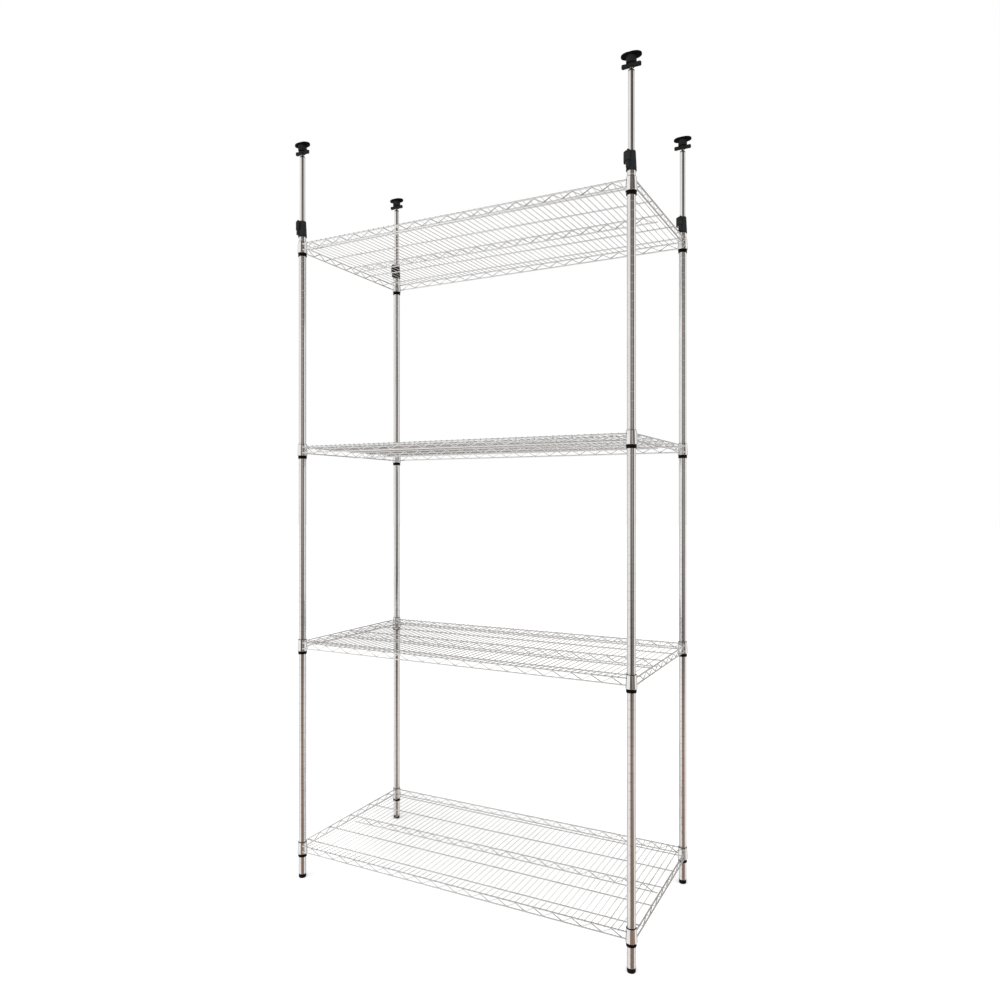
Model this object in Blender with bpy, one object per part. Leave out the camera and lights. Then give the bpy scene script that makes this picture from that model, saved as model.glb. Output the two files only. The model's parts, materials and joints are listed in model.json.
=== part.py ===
"""Wire shelving unit that wedges between a floor and a ceiling, modelled piece by piece.

Four posts carry four welded wire shelves on tapered clip sleeves. A thinner pole slides out of each post,
a lever clamp holds it, and a screw jack at its top presses a pad against the ceiling.
Units are metres with +Z up. The origin is on the floor, midway between the four feet.
"""
import math

import bmesh
import bpy
from mathutils import Matrix, Vector

MM = 0.001

# Layout of the unit: posts, and the grooves on them that seat the shelves, counted up from the first shelf
POST_SPACING_X = 1199 * MM
POST_SPACING_Y = 573 * MM
GROOVE_PITCH = 25.4 * MM
FIRST_SEAT_RISE = 64.6 * MM
SHELF_STEPS = {"bottom_shelf": 0, "second_shelf": 28, "third_shelf": 55, "top_shelf": 83}

# Clearances: a seated fit, the gap where two wires only touch, and how far a cut runs past a face
FIT = 0.3 * MM
TOUCH = 0.15 * MM
CUT_SPARE = 2 * MM

# Posts, their inserts and feet
POST_DIAMETER = 25.4 * MM
POST_WALL = 1.2 * MM
INSERT_LENGTH = 30 * MM
FOOT_HEIGHT = 14 * MM
FOOT_CHAMFER = 2.5 * MM
STUD_DIAMETER = 8 * MM
STUD_LENGTH = 24 * MM

# Clip sleeves, which stand out below and above the collar that sits on them
SLEEVE_BELOW = 10 * MM
SLEEVE_ABOVE = 1.4 * MM
SLEEVE_TOP_WALL = 1.2 * MM
SLEEVE_TAPER = 0.7 * MM
SLEEVE_SLIT = 1.2 * MM

# Corner collars of a shelf
COLLAR_HEIGHT = 40.4 * MM
COLLAR_TOP_WALL = 0.9 * MM
COLLAR_BOTTOM_WALL = 2.2 * MM

# Wires of a shelf, and how far crossing wires sink into each other where they are welded
EDGE_WIRE = 4.4 * MM
RUNNER_WIRE = 4.0 * MM
DECK_WIRE = 2.3 * MM
TRUSS_WIRE = 2.7 * MM
WELD_LAP = 0.6 * MM
UPPER_EDGE_DROP = 9.6 * MM
LOWER_EDGE_RISE = 10.8 * MM
EDGE_OUTSET = 11.8 * MM
DECK_PITCH = 20.2 * MM
TRUSS_PERIOD = 60.6 * MM
RUNNER_PITCH = 121.5 * MM
COLLAR_MARGIN = 4 * MM

# Clamp on a post top, with its lever and the rest under the lever's free end
SLEEVE_TO_CLAMP = 16.3 * MM
CLAMP_GRIP = 20 * MM
CLAMP_HEIGHT = 55.8 * MM
CLAMP_BOTTOM_WALL = 2.2 * MM
CLAMP_TOP_WALL = 2.6 * MM
CLAMP_CHAMFER = 1.2 * MM
CLAMP_SLIT = 2 * MM
LEVER_RISE = 24.5 * MM
LEVER_DROP = 3.9 * MM
LEVER_THICKNESS = 9 * MM
LEVER_GAP = 0.6 * MM
LEVER_PIVOT_ANGLE = math.radians(185)
LEVER_TIP_ANGLE = math.radians(262)
EAR_THICKNESS = 2.2 * MM
PIN_DIAMETER = 3 * MM
REST_ANGLE = math.radians(254)
REST_WIDTH = 8 * MM
REST_PROUD = 6.8 * MM
REST_RISE = 4 * MM

# Sliding pole and its end plug
TELESCOPE_GAP = 1.975 * MM
POLE_WALL = 1.2 * MM
POLE_LENGTH = 600 * MM
POLE_SHOWING = 223.5 * MM
PLUG_DEPTH = 22 * MM
PLUG_DOME = 5.2 * MM
PLUG_LAND = 2.2 * MM

# Screw jack and ceiling pad
BOLT_DIAMETER = 8 * MM
BOLT_ENGAGEMENT = 45 * MM
BOLT_SHOWING = 7.4 * MM
BOLT_IN_PAD = 12 * MM
HANDLE_THICKNESS = 10.5 * MM
HANDLE_SPAN = 58 * MM
HANDLE_LOBE = 6 * MM
HANDLE_PINCH = 0.8 * MM
HANDLE_HUB_WALL = 5.5 * MM
PAD_LENGTH = 61 * MM
PAD_WIDTH = 35 * MM
PAD_THICKNESS = 8 * MM
PAD_EDGE = 2.5 * MM
PAD_HUB_HEIGHT = 18.4 * MM
PAD_HUB_WALL = 10.7 * MM

# Facets round a turned piece and a pad, along a short arc and round a handle's lobe
ROUND_SIDES = 10
PAD_SIDES = 16
ARC_STEPS = 4
LOBE_STEPS = 6

POST_RADIUS = POST_DIAMETER / 2
POST_BORE = POST_RADIUS - POST_WALL
POLE_RADIUS = POST_BORE - TELESCOPE_GAP
POLE_BORE = POLE_RADIUS - POLE_WALL
BOLT_RADIUS = BOLT_DIAMETER / 2

# Heights on a sleeve and its collar, counted from the groove that seats the sleeve
SLEEVE_BOTTOM = -SLEEVE_BELOW / 2
COLLAR_BOTTOM = SLEEVE_BELOW / 2
COLLAR_TOP = COLLAR_BOTTOM + COLLAR_HEIGHT
SLEEVE_TOP = COLLAR_TOP + SLEEVE_ABOVE
UPPER_EDGE_Z = COLLAR_TOP - UPPER_EDGE_DROP
LOWER_EDGE_Z = COLLAR_BOTTOM + LOWER_EDGE_RISE

# Heights on a post, counted from the floor
POST_BOTTOM = FOOT_HEIGHT + FIT
LOWEST_SEAT = POST_BOTTOM + FIRST_SEAT_RISE
HIGHEST_SEAT = LOWEST_SEAT + max(SHELF_STEPS.values()) * GROOVE_PITCH
CLAMP_BOTTOM = HIGHEST_SEAT + SLEEVE_TOP + SLEEVE_TO_CLAMP
POST_TOP = CLAMP_BOTTOM + CLAMP_GRIP
CLAMP_TOP = CLAMP_BOTTOM + CLAMP_HEIGHT
LEVER_BOTTOM = CLAMP_BOTTOM + LEVER_RISE
LEVER_TOP = CLAMP_TOP - LEVER_DROP
POLE_TOP = CLAMP_TOP + POLE_SHOWING
PLUG_TOP = POLE_TOP + FIT + PLUG_DOME
HANDLE_BOTTOM = PLUG_TOP + BOLT_SHOWING
HANDLE_TOP = HANDLE_BOTTOM + HANDLE_THICKNESS
HUB_BOTTOM = HANDLE_TOP + FIT
PAD_BOTTOM = HUB_BOTTOM + PAD_HUB_HEIGHT
PAD_TOP = PAD_BOTTOM + PAD_THICKNESS

CLAMP_BOTTOM_RADIUS = POST_RADIUS + FIT + CLAMP_BOTTOM_WALL
CLAMP_TOP_RADIUS = POLE_RADIUS + FIT + CLAMP_TOP_WALL
LOWER_EAR_BOTTOM = LEVER_BOTTOM - FIT - EAR_THICKNESS
UPPER_EAR_BOTTOM = LEVER_TOP + FIT


def clamp_radius(height):
    share = (height - CLAMP_BOTTOM) / CLAMP_HEIGHT
    return CLAMP_BOTTOM_RADIUS + (CLAMP_TOP_RADIUS - CLAMP_BOTTOM_RADIUS) * share


LEVER_BOSS = LEVER_THICKNESS / 2
LEVER_MIDDLE = clamp_radius(LOWER_EAR_BOTTOM) + LEVER_GAP + LEVER_BOSS
LEVER_PIVOT = Vector((math.cos(LEVER_PIVOT_ANGLE), math.sin(LEVER_PIVOT_ANGLE), 0)) * LEVER_MIDDLE

CORNERS = {"front_left": (-1, -1), "front_right": (1, -1), "back_left": (-1, 1), "back_right": (1, 1)}


def clear_scene():
    for item in list(bpy.data.objects):
        bpy.data.objects.remove(item, do_unlink=True)


def make_material(name, colour, roughness, metallic):
    material = bpy.data.materials.new(name)
    material.use_nodes = True
    shader = material.node_tree.nodes["Principled BSDF"]
    shader.inputs["Base Color"].default_value = (*colour, 1)
    shader.inputs["Roughness"].default_value = roughness
    shader.inputs["Metallic"].default_value = metallic
    return material


def finish_mesh(shape, name):
    """Turn a bmesh of closed bodies into a mesh with its faces pointing out."""
    bmesh.ops.recalc_face_normals(shape, faces=shape.faces[:])
    mesh = bpy.data.meshes.new(name)
    shape.to_mesh(mesh)
    shape.free()
    return mesh


def turned(profile, closed, sides=ROUND_SIDES):
    """Turn a (radius, height) outline about Z: a closed outline gives a ring, an open one gets flat ends."""
    shape = bmesh.new()
    points = [shape.verts.new((radius, 0, height)) for radius, height in profile]
    edges = [shape.edges.new(pair) for pair in zip(points, points[1:])]
    if closed:
        edges.append(shape.edges.new((points[-1], points[0])))
    bmesh.ops.spin(
        shape,
        geom=points + edges,
        cent=(0, 0, 0),
        axis=(0, 0, 1),
        angle=2 * math.pi,
        steps=sides,
        use_merge=True,
    )
    if not closed:
        rims = [edge for edge in shape.edges if edge.is_boundary]
        bmesh.ops.holes_fill(shape, edges=rims, sides=0)
    return finish_mesh(shape, "turned")


def prism(outline, bottom, top):
    """Extrude a flat (x, y) outline upwards."""
    shape = bmesh.new()
    base = shape.faces.new([shape.verts.new((x, y, bottom)) for x, y in outline])
    raised = bmesh.ops.extrude_face_region(shape, geom=[base], use_keep_orig=True)
    corners = [item for item in raised["geom"] if isinstance(item, bmesh.types.BMVert)]
    bmesh.ops.translate(shape, verts=corners, vec=(0, 0, top - bottom))
    return finish_mesh(shape, "prism")


def arc(centre, radius, start, end, steps=ARC_STEPS):
    """Points along an arc, both ends included."""
    turns = [start + (end - start) * step / steps for step in range(steps + 1)]
    return [(centre[0] + radius * math.cos(turn), centre[1] + radius * math.sin(turn)) for turn in turns]


def combine(operation, base, tools):
    """Join tools to a base mesh, or cut them from it, and return the resulting mesh."""
    scene = bpy.context.scene
    group = bpy.data.collections.new("tools")
    scene.collection.children.link(group)
    for tool in tools:
        group.objects.link(bpy.data.objects.new("tool", tool))
    body = bpy.data.objects.new("body", base)
    scene.collection.objects.link(body)
    boolean = body.modifiers.new("combine", "BOOLEAN")
    boolean.operation = operation
    boolean.operand_type = "COLLECTION"
    boolean.collection = group
    evaluated = body.evaluated_get(bpy.context.evaluated_depsgraph_get())
    mesh = bpy.data.meshes.new_from_object(evaluated)
    for item in [body, *group.objects]:
        bpy.data.objects.remove(item, do_unlink=True)
    bpy.data.collections.remove(group)
    return mesh


def square_wire(diameter):
    """Four-sided outline with the area of a round wire."""
    half = diameter * math.sqrt(math.pi) / 4
    return [(-half, -half), (half, -half), (half, half), (-half, half)]


def triangle_wire(diameter):
    """Three-sided outline as high as a round wire, with its flat side up."""
    half = diameter / math.sqrt(3)
    return [(0, -2 * diameter / 3), (half, diameter / 3), (-half, diameter / 3)]


def truss_wire():
    """Three-sided outline with its flat side upright, in the plane of the zigzag."""
    return [(rise, side) for side, rise in triangle_wire(TRUSS_WIRE)]


def wire_half(diameter):
    return square_wire(diameter)[2][0]


def sweep(shape, path, outline, across):
    """Sweep an outline along straight runs with mitred bends; across is square to every run."""
    runs = [(end - start).normalized() for start, end in zip(path, path[1:])]
    rings = []
    for point, before, after in zip(path, runs[:1] + runs, runs + runs[-1:]):
        mitre = (before + after).normalized()
        ring = []
        for side, rise in outline:
            offset = across * side + before.cross(across) * rise
            offset -= before * (offset.dot(mitre) / before.dot(mitre))
            ring.append(shape.verts.new(point + offset))
        rings.append(ring)
    for ring, following in zip(rings, rings[1:]):
        for index in range(len(outline)):
            shape.faces.new((ring[index - 1], ring[index], following[index], following[index - 1]))
    shape.faces.new(rings[0])
    shape.faces.new(rings[-1])


def radial_slot(width, inner, outer, bottom, top, turn):
    """Box that cuts through one side of a ring between two heights."""
    near, far = inner - CUT_SPARE, outer + CUT_SPARE
    outline = [(near, -width / 2), (far, -width / 2), (far, width / 2), (near, width / 2)]
    slot = prism(outline, bottom, top)
    slot.transform(Matrix.Rotation(turn, 4, "Z"))
    return slot


def sleeve_radius(height):
    share = (SLEEVE_TOP - height) / (SLEEVE_TOP - SLEEVE_BOTTOM)
    return POST_RADIUS + FIT + SLEEVE_TOP_WALL + SLEEVE_TAPER * share


def collar_bore(height):
    return sleeve_radius(height) + FIT


COLLAR_REACH = collar_bore(COLLAR_BOTTOM) + COLLAR_BOTTOM_WALL + COLLAR_MARGIN


def sleeve_mesh():
    """Tapered plastic clip sleeve, slit along one side so that it snaps round the post."""
    bore = POST_RADIUS + FIT
    body = turned(
        [
            (bore, SLEEVE_BOTTOM),
            (sleeve_radius(SLEEVE_BOTTOM), SLEEVE_BOTTOM),
            (sleeve_radius(SLEEVE_TOP), SLEEVE_TOP),
            (bore, SLEEVE_TOP),
        ],
        closed=True,
    )
    mid_facet = math.pi / ROUND_SIDES
    ends = (SLEEVE_BOTTOM - CUT_SPARE, SLEEVE_TOP + CUT_SPARE)
    slit = radial_slot(SLEEVE_SLIT, bore, sleeve_radius(SLEEVE_BOTTOM), *ends, mid_facet)
    return combine("DIFFERENCE", body, [slit])


def at_corners(outline):
    """Turn a solid from a (radius, height) outline at each of the four posts."""
    solids = []
    for side_x, side_y in CORNERS.values():
        solid = turned(outline, closed=False)
        solid.transform(Matrix.Translation((side_x * POST_SPACING_X / 2, side_y * POST_SPACING_Y / 2, 0)))
        solids.append(solid)
    return solids


def collar_solids():
    """Tapered collars that wedge down over the sleeves, still without their bores."""
    top = collar_bore(COLLAR_TOP) + COLLAR_TOP_WALL
    bottom = collar_bore(COLLAR_BOTTOM) + COLLAR_BOTTOM_WALL
    return at_corners([(top, COLLAR_TOP), (bottom, COLLAR_BOTTOM)])


def collar_bores():
    ends = (COLLAR_TOP + CUT_SPARE, COLLAR_BOTTOM - CUT_SPARE)
    return at_corners([(collar_bore(height), height) for height in ends])


def bend_count(spacing, pitch):
    """How many whole pitches fit between the middle of a side and its collar."""
    return int((spacing / 2 - COLLAR_REACH) / pitch)


def zigzag(spacing, upper, lower, upper_contact, lower_contact):
    """Bends of a truss wire: high and low in turn, with its two ends welded into the wires."""
    half_period = TRUSS_PERIOD / 2
    last = bend_count(spacing, half_period)
    bends = []
    for index in range(-last, last + 1):
        wire, contact = (lower, lower_contact) if index % 2 else (upper, upper_contact)
        bends.append((index * half_period, wire if abs(index) == last else contact))
    return bends


def shelf_mesh():
    """One welded shelf: collars, edge wires, runners, deck wires and zigzag trusses."""
    half_x, half_y = POST_SPACING_X / 2, POST_SPACING_Y / 2
    edge_x, edge_y = half_x + EDGE_OUTSET, half_y + EDGE_OUTSET
    edge_half, runner_half = wire_half(EDGE_WIRE), wire_half(RUNNER_WIRE)
    along, back = Vector((1, 0, 0)), Vector((0, 1, 0))
    under_edge = edge_half + runner_half - WELD_LAP
    runner_z = UPPER_EDGE_Z - under_edge
    middle_low_z = LOWER_EDGE_Z - under_edge
    deck_z = runner_z + runner_half + TOUCH + 2 * DECK_WIRE / 3

    # Edge wires on the four sides, which run into the collars
    long_wires, side_wires = bmesh.new(), bmesh.new()
    reach_x, reach_y = half_x - EDGE_WIRE, half_y - EDGE_WIRE
    for height in (UPPER_EDGE_Z, LOWER_EDGE_Z):
        for side in (-1, 1):
            path = [Vector((end * reach_x, side * edge_y, height)) for end in (-1, 1)]
            sweep(long_wires, path, square_wire(EDGE_WIRE), back)
            path = [Vector((side * edge_x, end * reach_y, height)) for end in (-1, 1)]
            sweep(side_wires, path, square_wire(EDGE_WIRE), -along)

    # Lengthwise runners and the lower wire of the middle truss, welded under the side wires
    last = bend_count(POST_SPACING_Y, RUNNER_PITCH)
    runners = [(row * RUNNER_PITCH, runner_z) for row in range(-last, last + 1)]
    for y, height in [*runners, (0, middle_low_z)]:
        path = [Vector((end * edge_x, y, height)) for end in (-1, 1)]
        sweep(long_wires, path, square_wire(RUNNER_WIRE), back)

    # Deck wires, front to back: butted into the upper edge wires, or into a collar that is in the way
    deck_wires = bmesh.new()
    last = int(half_x / DECK_PITCH)
    for index in range(-last, last + 1):
        x = index * DECK_PITCH
        from_post = half_x - abs(x)
        meets_collar = from_post < collar_bore(UPPER_EDGE_Z)
        if meets_collar or from_post > COLLAR_REACH:
            reach = reach_y if meets_collar else edge_y
            path = [Vector((x, end * reach, deck_z)) for end in (-1, 1)]
            sweep(deck_wires, path, triangle_wire(DECK_WIRE), -along)

    # Zigzag trusses on the four sides and along the middle
    trusses = bmesh.new()
    steepest = math.atan2(UPPER_EDGE_Z - LOWER_EDGE_Z, TRUSS_PERIOD / 2)
    bend_rise = TRUSS_WIRE / math.sqrt(3) / math.cos(steepest) + TOUCH
    contacts = (UPPER_EDGE_Z - edge_half - bend_rise, LOWER_EDGE_Z + edge_half + bend_rise)
    long_bends = zigzag(POST_SPACING_X, UPPER_EDGE_Z, LOWER_EDGE_Z, *contacts)
    short_bends = zigzag(POST_SPACING_Y, UPPER_EDGE_Z, LOWER_EDGE_Z, *contacts)
    for side in (-1, 1):
        sweep(trusses, [Vector((x, side * edge_y, z)) for x, z in long_bends], truss_wire(), back)
        sweep(trusses, [Vector((side * edge_x, y, z)) for y, z in short_bends], truss_wire(), -along)
    contacts = (runner_z - runner_half - bend_rise, middle_low_z + runner_half + bend_rise)
    middle_bends = zigzag(POST_SPACING_X, runner_z, middle_low_z, *contacts)
    sweep(trusses, [Vector((x, 0, z)) for x, z in middle_bends], truss_wire(), back)

    collars = collar_solids()
    wires = [finish_mesh(shape, "wires") for shape in (long_wires, side_wires, deck_wires, trusses)]
    welded = combine("UNION", collars[0], collars[1:] + wires)
    return combine("DIFFERENCE", welded, collar_bores())


def post_mesh():
    return turned(
        [
            (POST_BORE, POST_BOTTOM),
            (POST_RADIUS, POST_BOTTOM),
            (POST_RADIUS, POST_TOP),
            (POST_BORE, POST_TOP),
        ],
        closed=True,
    )


def insert_mesh():
    """Threaded plug in a post's bottom end that takes the stud of the foot."""
    bore = STUD_DIAMETER / 2 + FIT
    outer = POST_BORE - FIT
    top = POST_BOTTOM + INSERT_LENGTH
    return turned([(bore, POST_BOTTOM), (outer, POST_BOTTOM), (outer, top), (bore, top)], closed=True)


def foot_mesh():
    """Levelling foot: a cap as wide as the post on a stud that screws into the insert."""
    stud = STUD_DIAMETER / 2
    return turned(
        [
            (stud, FOOT_HEIGHT + STUD_LENGTH),
            (stud, FOOT_HEIGHT),
            (POST_RADIUS, FOOT_HEIGHT),
            (POST_RADIUS, FOOT_CHAMFER),
            (POST_RADIUS - FOOT_CHAMFER, 0),
        ],
        closed=False,
    )


def clamp_mesh():
    """Clamp body: gripped on the post below, slit round the pole above, with the lever's ears, pin and rest."""
    body = turned(
        [
            (CLAMP_TOP_RADIUS - CLAMP_CHAMFER, CLAMP_TOP),
            (clamp_radius(CLAMP_TOP - CLAMP_CHAMFER), CLAMP_TOP - CLAMP_CHAMFER),
            (CLAMP_BOTTOM_RADIUS, CLAMP_BOTTOM),
        ],
        closed=False,
    )
    fittings = []
    rounded = arc((LEVER_MIDDLE, 0), LEVER_BOSS, -math.pi / 2, math.pi / 2)
    for bottom in (LOWER_EAR_BOTTOM, UPPER_EAR_BOTTOM):
        outline = [(POLE_RADIUS, LEVER_BOSS), (POLE_RADIUS, -LEVER_BOSS), *rounded]
        ear = prism(outline, bottom, bottom + EAR_THICKNESS)
        ear.transform(Matrix.Rotation(LEVER_PIVOT_ANGLE, 4, "Z"))
        fittings.append(ear)
    pin_radius = PIN_DIAMETER / 2
    pin_ends = (UPPER_EAR_BOTTOM + EAR_THICKNESS / 2, LOWER_EAR_BOTTOM + EAR_THICKNESS / 2)
    pin = turned([(pin_radius, height) for height in pin_ends], closed=False)
    pin.transform(Matrix.Translation(LEVER_PIVOT))
    reach, half = CLAMP_BOTTOM_RADIUS + REST_PROUD, REST_WIDTH / 2
    outline = [(POLE_RADIUS, -half), (reach, -half), (reach, half), (POLE_RADIUS, half)]
    rest = prism(outline, CLAMP_BOTTOM + REST_RISE, LEVER_BOTTOM - FIT)
    rest.transform(Matrix.Rotation(REST_ANGLE, 4, "Z"))
    body = combine("UNION", body, [*fittings, pin, rest])

    post_fit = POST_RADIUS + FIT
    pole_fit = POLE_RADIUS + FIT
    shoulder = POST_TOP + FIT
    slit_turn = (LEVER_PIVOT_ANGLE + LEVER_TIP_ANGLE) / 2
    above = CLAMP_TOP + CUT_SPARE
    cuts = [
        turned([(post_fit, shoulder), (post_fit, CLAMP_BOTTOM - CUT_SPARE)], closed=False),
        turned([(pole_fit, above), (pole_fit, shoulder - CUT_SPARE)], closed=False),
        radial_slot(CLAMP_SLIT, pole_fit, CLAMP_BOTTOM_RADIUS, shoulder + CLAMP_TOP_WALL, above, slit_turn),
    ]
    return combine("DIFFERENCE", body, cuts)


def lever_mesh():
    """Clamp lever, bent round the clamp body, with its origin on its pivot."""
    start, end = LEVER_PIVOT_ANGLE, LEVER_TIP_ANGLE
    tip = (LEVER_MIDDLE * math.cos(end), LEVER_MIDDLE * math.sin(end))
    outer_side = arc((0, 0), LEVER_MIDDLE + LEVER_BOSS, start, end)
    tip_end = arc(tip, LEVER_BOSS, end, end + math.pi)
    inner_side = arc((0, 0), LEVER_MIDDLE - LEVER_BOSS, end, start)
    boss_end = arc(LEVER_PIVOT, LEVER_BOSS, start + math.pi, start + 2 * math.pi)
    outline = outer_side + tip_end[1:-1] + inner_side + boss_end[1:-1]
    lever = prism(outline, LEVER_BOTTOM, LEVER_TOP)
    hole_radius = PIN_DIAMETER / 2 + FIT
    hole_ends = (LEVER_TOP + CUT_SPARE, LEVER_BOTTOM - CUT_SPARE)
    hole = turned([(hole_radius, height) for height in hole_ends], closed=False)
    hole.transform(Matrix.Translation(LEVER_PIVOT))
    lever = combine("DIFFERENCE", lever, [hole])
    lever.transform(Matrix.Translation(-LEVER_PIVOT))
    return lever


def pole_mesh():
    bottom = POLE_TOP - POLE_LENGTH
    return turned(
        [
            (POLE_BORE, bottom),
            (POLE_RADIUS, bottom),
            (POLE_RADIUS, POLE_TOP),
            (POLE_BORE, POLE_TOP),
        ],
        closed=True,
    )


def plug_mesh():
    """Domed end plug of a pole, with the bore that the jack bolt screws through."""
    bore = BOLT_RADIUS + FIT
    stem = POLE_BORE - FIT
    seat = POLE_TOP + FIT
    return turned(
        [
            (bore, POLE_TOP - PLUG_DEPTH),
            (stem, POLE_TOP - PLUG_DEPTH),
            (stem, seat),
            (POLE_RADIUS, seat),
            (bore + PLUG_LAND, PLUG_TOP),
            (bore, PLUG_TOP),
        ],
        closed=True,
    )


def bolt_mesh():
    bottom = PLUG_TOP - BOLT_ENGAGEMENT
    top = HUB_BOTTOM + BOLT_IN_PAD
    return turned([(BOLT_RADIUS, top), (BOLT_RADIUS, bottom)], closed=False)


def handle_mesh():
    """Wing handle: two rounded lobes on a round hub, moulded round the bolt."""
    hub = BOLT_RADIUS + FIT + HANDLE_HUB_WALL
    lobe_x = HANDLE_SPAN / 2 - HANDLE_LOBE
    waist = HANDLE_LOBE - HANDLE_PINCH
    flank = math.pi - math.asin(waist / HANDLE_LOBE)
    neck = math.asin(waist / hub)
    right = arc((lobe_x, 0), HANDLE_LOBE, -flank, flank, LOBE_STEPS)
    top = arc((0, 0), hub, neck, math.pi - neck)
    left = [(-x, -y) for x, y in right]
    bottom = [(-x, -y) for x, y in top]
    handle = prism(right + top + left + bottom, HANDLE_BOTTOM, HANDLE_TOP)
    bore_radius = BOLT_RADIUS + FIT
    bore_ends = (HANDLE_TOP + CUT_SPARE, HANDLE_BOTTOM - CUT_SPARE)
    bore = turned([(bore_radius, height) for height in bore_ends], closed=False)
    return combine("DIFFERENCE", handle, [bore])


def pad_mesh():
    """Ceiling pad: a plate with round ends and straight sides, on the hub that turns on the bolt's end."""
    radius = PAD_WIDTH / 2
    bore = BOLT_RADIUS + FIT
    hub = bore + PAD_HUB_WALL
    pad = turned(
        [
            (radius - PAD_EDGE, PAD_TOP),
            (radius, PAD_TOP - PAD_EDGE),
            (radius, PAD_BOTTOM),
            (hub, PAD_BOTTOM),
            (hub, HUB_BOTTOM),
            (bore, HUB_BOTTOM),
            (bore, HUB_BOTTOM + BOLT_IN_PAD + FIT),
        ],
        closed=False,
        sides=PAD_SIDES,
    )
    # Half a facet's turn leaves no corner on the middle line, where the plate is pulled apart
    pad.transform(Matrix.Rotation(math.pi / PAD_SIDES, 4, "Z"))
    flat_end = radius * math.cos(math.pi / PAD_SIDES)
    for vertex in pad.vertices:
        on_plate = vertex.co.z > PAD_BOTTOM + TOUCH or vertex.co.xy.length > hub + TOUCH
        in_bore = vertex.co.xy.length < bore + TOUCH
        if on_plate and not in_bore:
            vertex.co.x += math.copysign(PAD_LENGTH / 2 - flat_end, vertex.co.x)
    return pad


def place(name, mesh, location, parent=None):
    item = bpy.data.objects.new(name, mesh)
    item.location = location
    item.parent = parent
    bpy.context.scene.collection.objects.link(item)


def dress(mesh, material):
    """Give a mesh its material, and smooth shading except at real edges."""
    mesh.materials.clear()
    mesh.materials.append(material)
    mesh.shade_smooth()
    mesh.set_sharp_from_angle(angle=math.radians(40))
    return mesh


def build():
    clear_scene()
    wire_chrome = make_material("shelf wire chrome", (0.62, 0.63, 0.64), 0.28, 1)
    post_chrome = make_material("post chrome", (0.78, 0.77, 0.76), 0.12, 1)
    pole_chrome = make_material("pole chrome", (0.76, 0.75, 0.74), 0.12, 1)
    plug_zinc = make_material("plug zinc", (0.7, 0.7, 0.7), 0.22, 1)
    bolt_steel = make_material("bolt steel", (0.6, 0.6, 0.61), 0.25, 1)
    sleeve_black = make_material("sleeve black plastic", (0.012, 0.012, 0.013), 0.4, 0)
    clamp_black = make_material("clamp black plastic", (0.025, 0.026, 0.028), 0.45, 0)
    handle_black = make_material("handle black plastic", (0.018, 0.018, 0.019), 0.42, 0)
    pad_black = make_material("pad black rubber", (0.016, 0.016, 0.016), 0.6, 0)
    foot_black = make_material("foot black plastic", (0.012, 0.012, 0.012), 0.5, 0)
    insert_grey = make_material("insert grey plastic", (0.2, 0.2, 0.2), 0.5, 0)

    shelf = dress(shelf_mesh(), wire_chrome)
    for name, step in SHELF_STEPS.items():
        place(name, shelf, (0, 0, LOWEST_SEAT + step * GROOVE_PITCH))

    sleeve = dress(sleeve_mesh(), sleeve_black)
    post_pieces = {
        "post": dress(post_mesh(), post_chrome),
        "foot_insert": dress(insert_mesh(), insert_grey),
        "foot": dress(foot_mesh(), foot_black),
        "clamp_body": dress(clamp_mesh(), clamp_black),
        "inner_pole": dress(pole_mesh(), pole_chrome),
        "pole_plug": dress(plug_mesh(), plug_zinc),
        "jack_bolt": dress(bolt_mesh(), bolt_steel),
        "jack_handle": dress(handle_mesh(), handle_black),
        "ceiling_pad": dress(pad_mesh(), pad_black),
    }
    lever = dress(lever_mesh(), clamp_black)

    for corner, (side_x, side_y) in CORNERS.items():
        axis = bpy.data.objects.new("axis_" + corner, None)
        axis.location = (side_x * POST_SPACING_X / 2, side_y * POST_SPACING_Y / 2, 0)
        bpy.context.scene.collection.objects.link(axis)
        for piece, mesh in post_pieces.items():
            place(f"{piece}_{corner}", mesh, (0, 0, 0), axis)
        for shelf_name, step in SHELF_STEPS.items():
            level = shelf_name.removesuffix("_shelf")
            place(f"sleeve_{level}_{corner}", sleeve, (0, 0, LOWEST_SEAT + step * GROOVE_PITCH), axis)
        place(f"clamp_lever_{corner}", lever, LEVER_PIVOT, axis)


build()
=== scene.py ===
# %% [markdown]
# # A floor-to-ceiling wire shelving unit
# Four chromed posts carry four welded wire shelves. Plastic clip sleeves seat the shelves on the posts, and
# a thinner pole slides out of each post and is screwed up against the ceiling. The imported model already
# holds the solids and the joints, so this lesson loads it first and takes places and sizes from it. Each
# step then puts a finer piece where a plain solid stands, and tells it which body it rides on.

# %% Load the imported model
import json
import math

import bmesh
import bpy
from mathutils import Matrix, Vector

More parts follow.
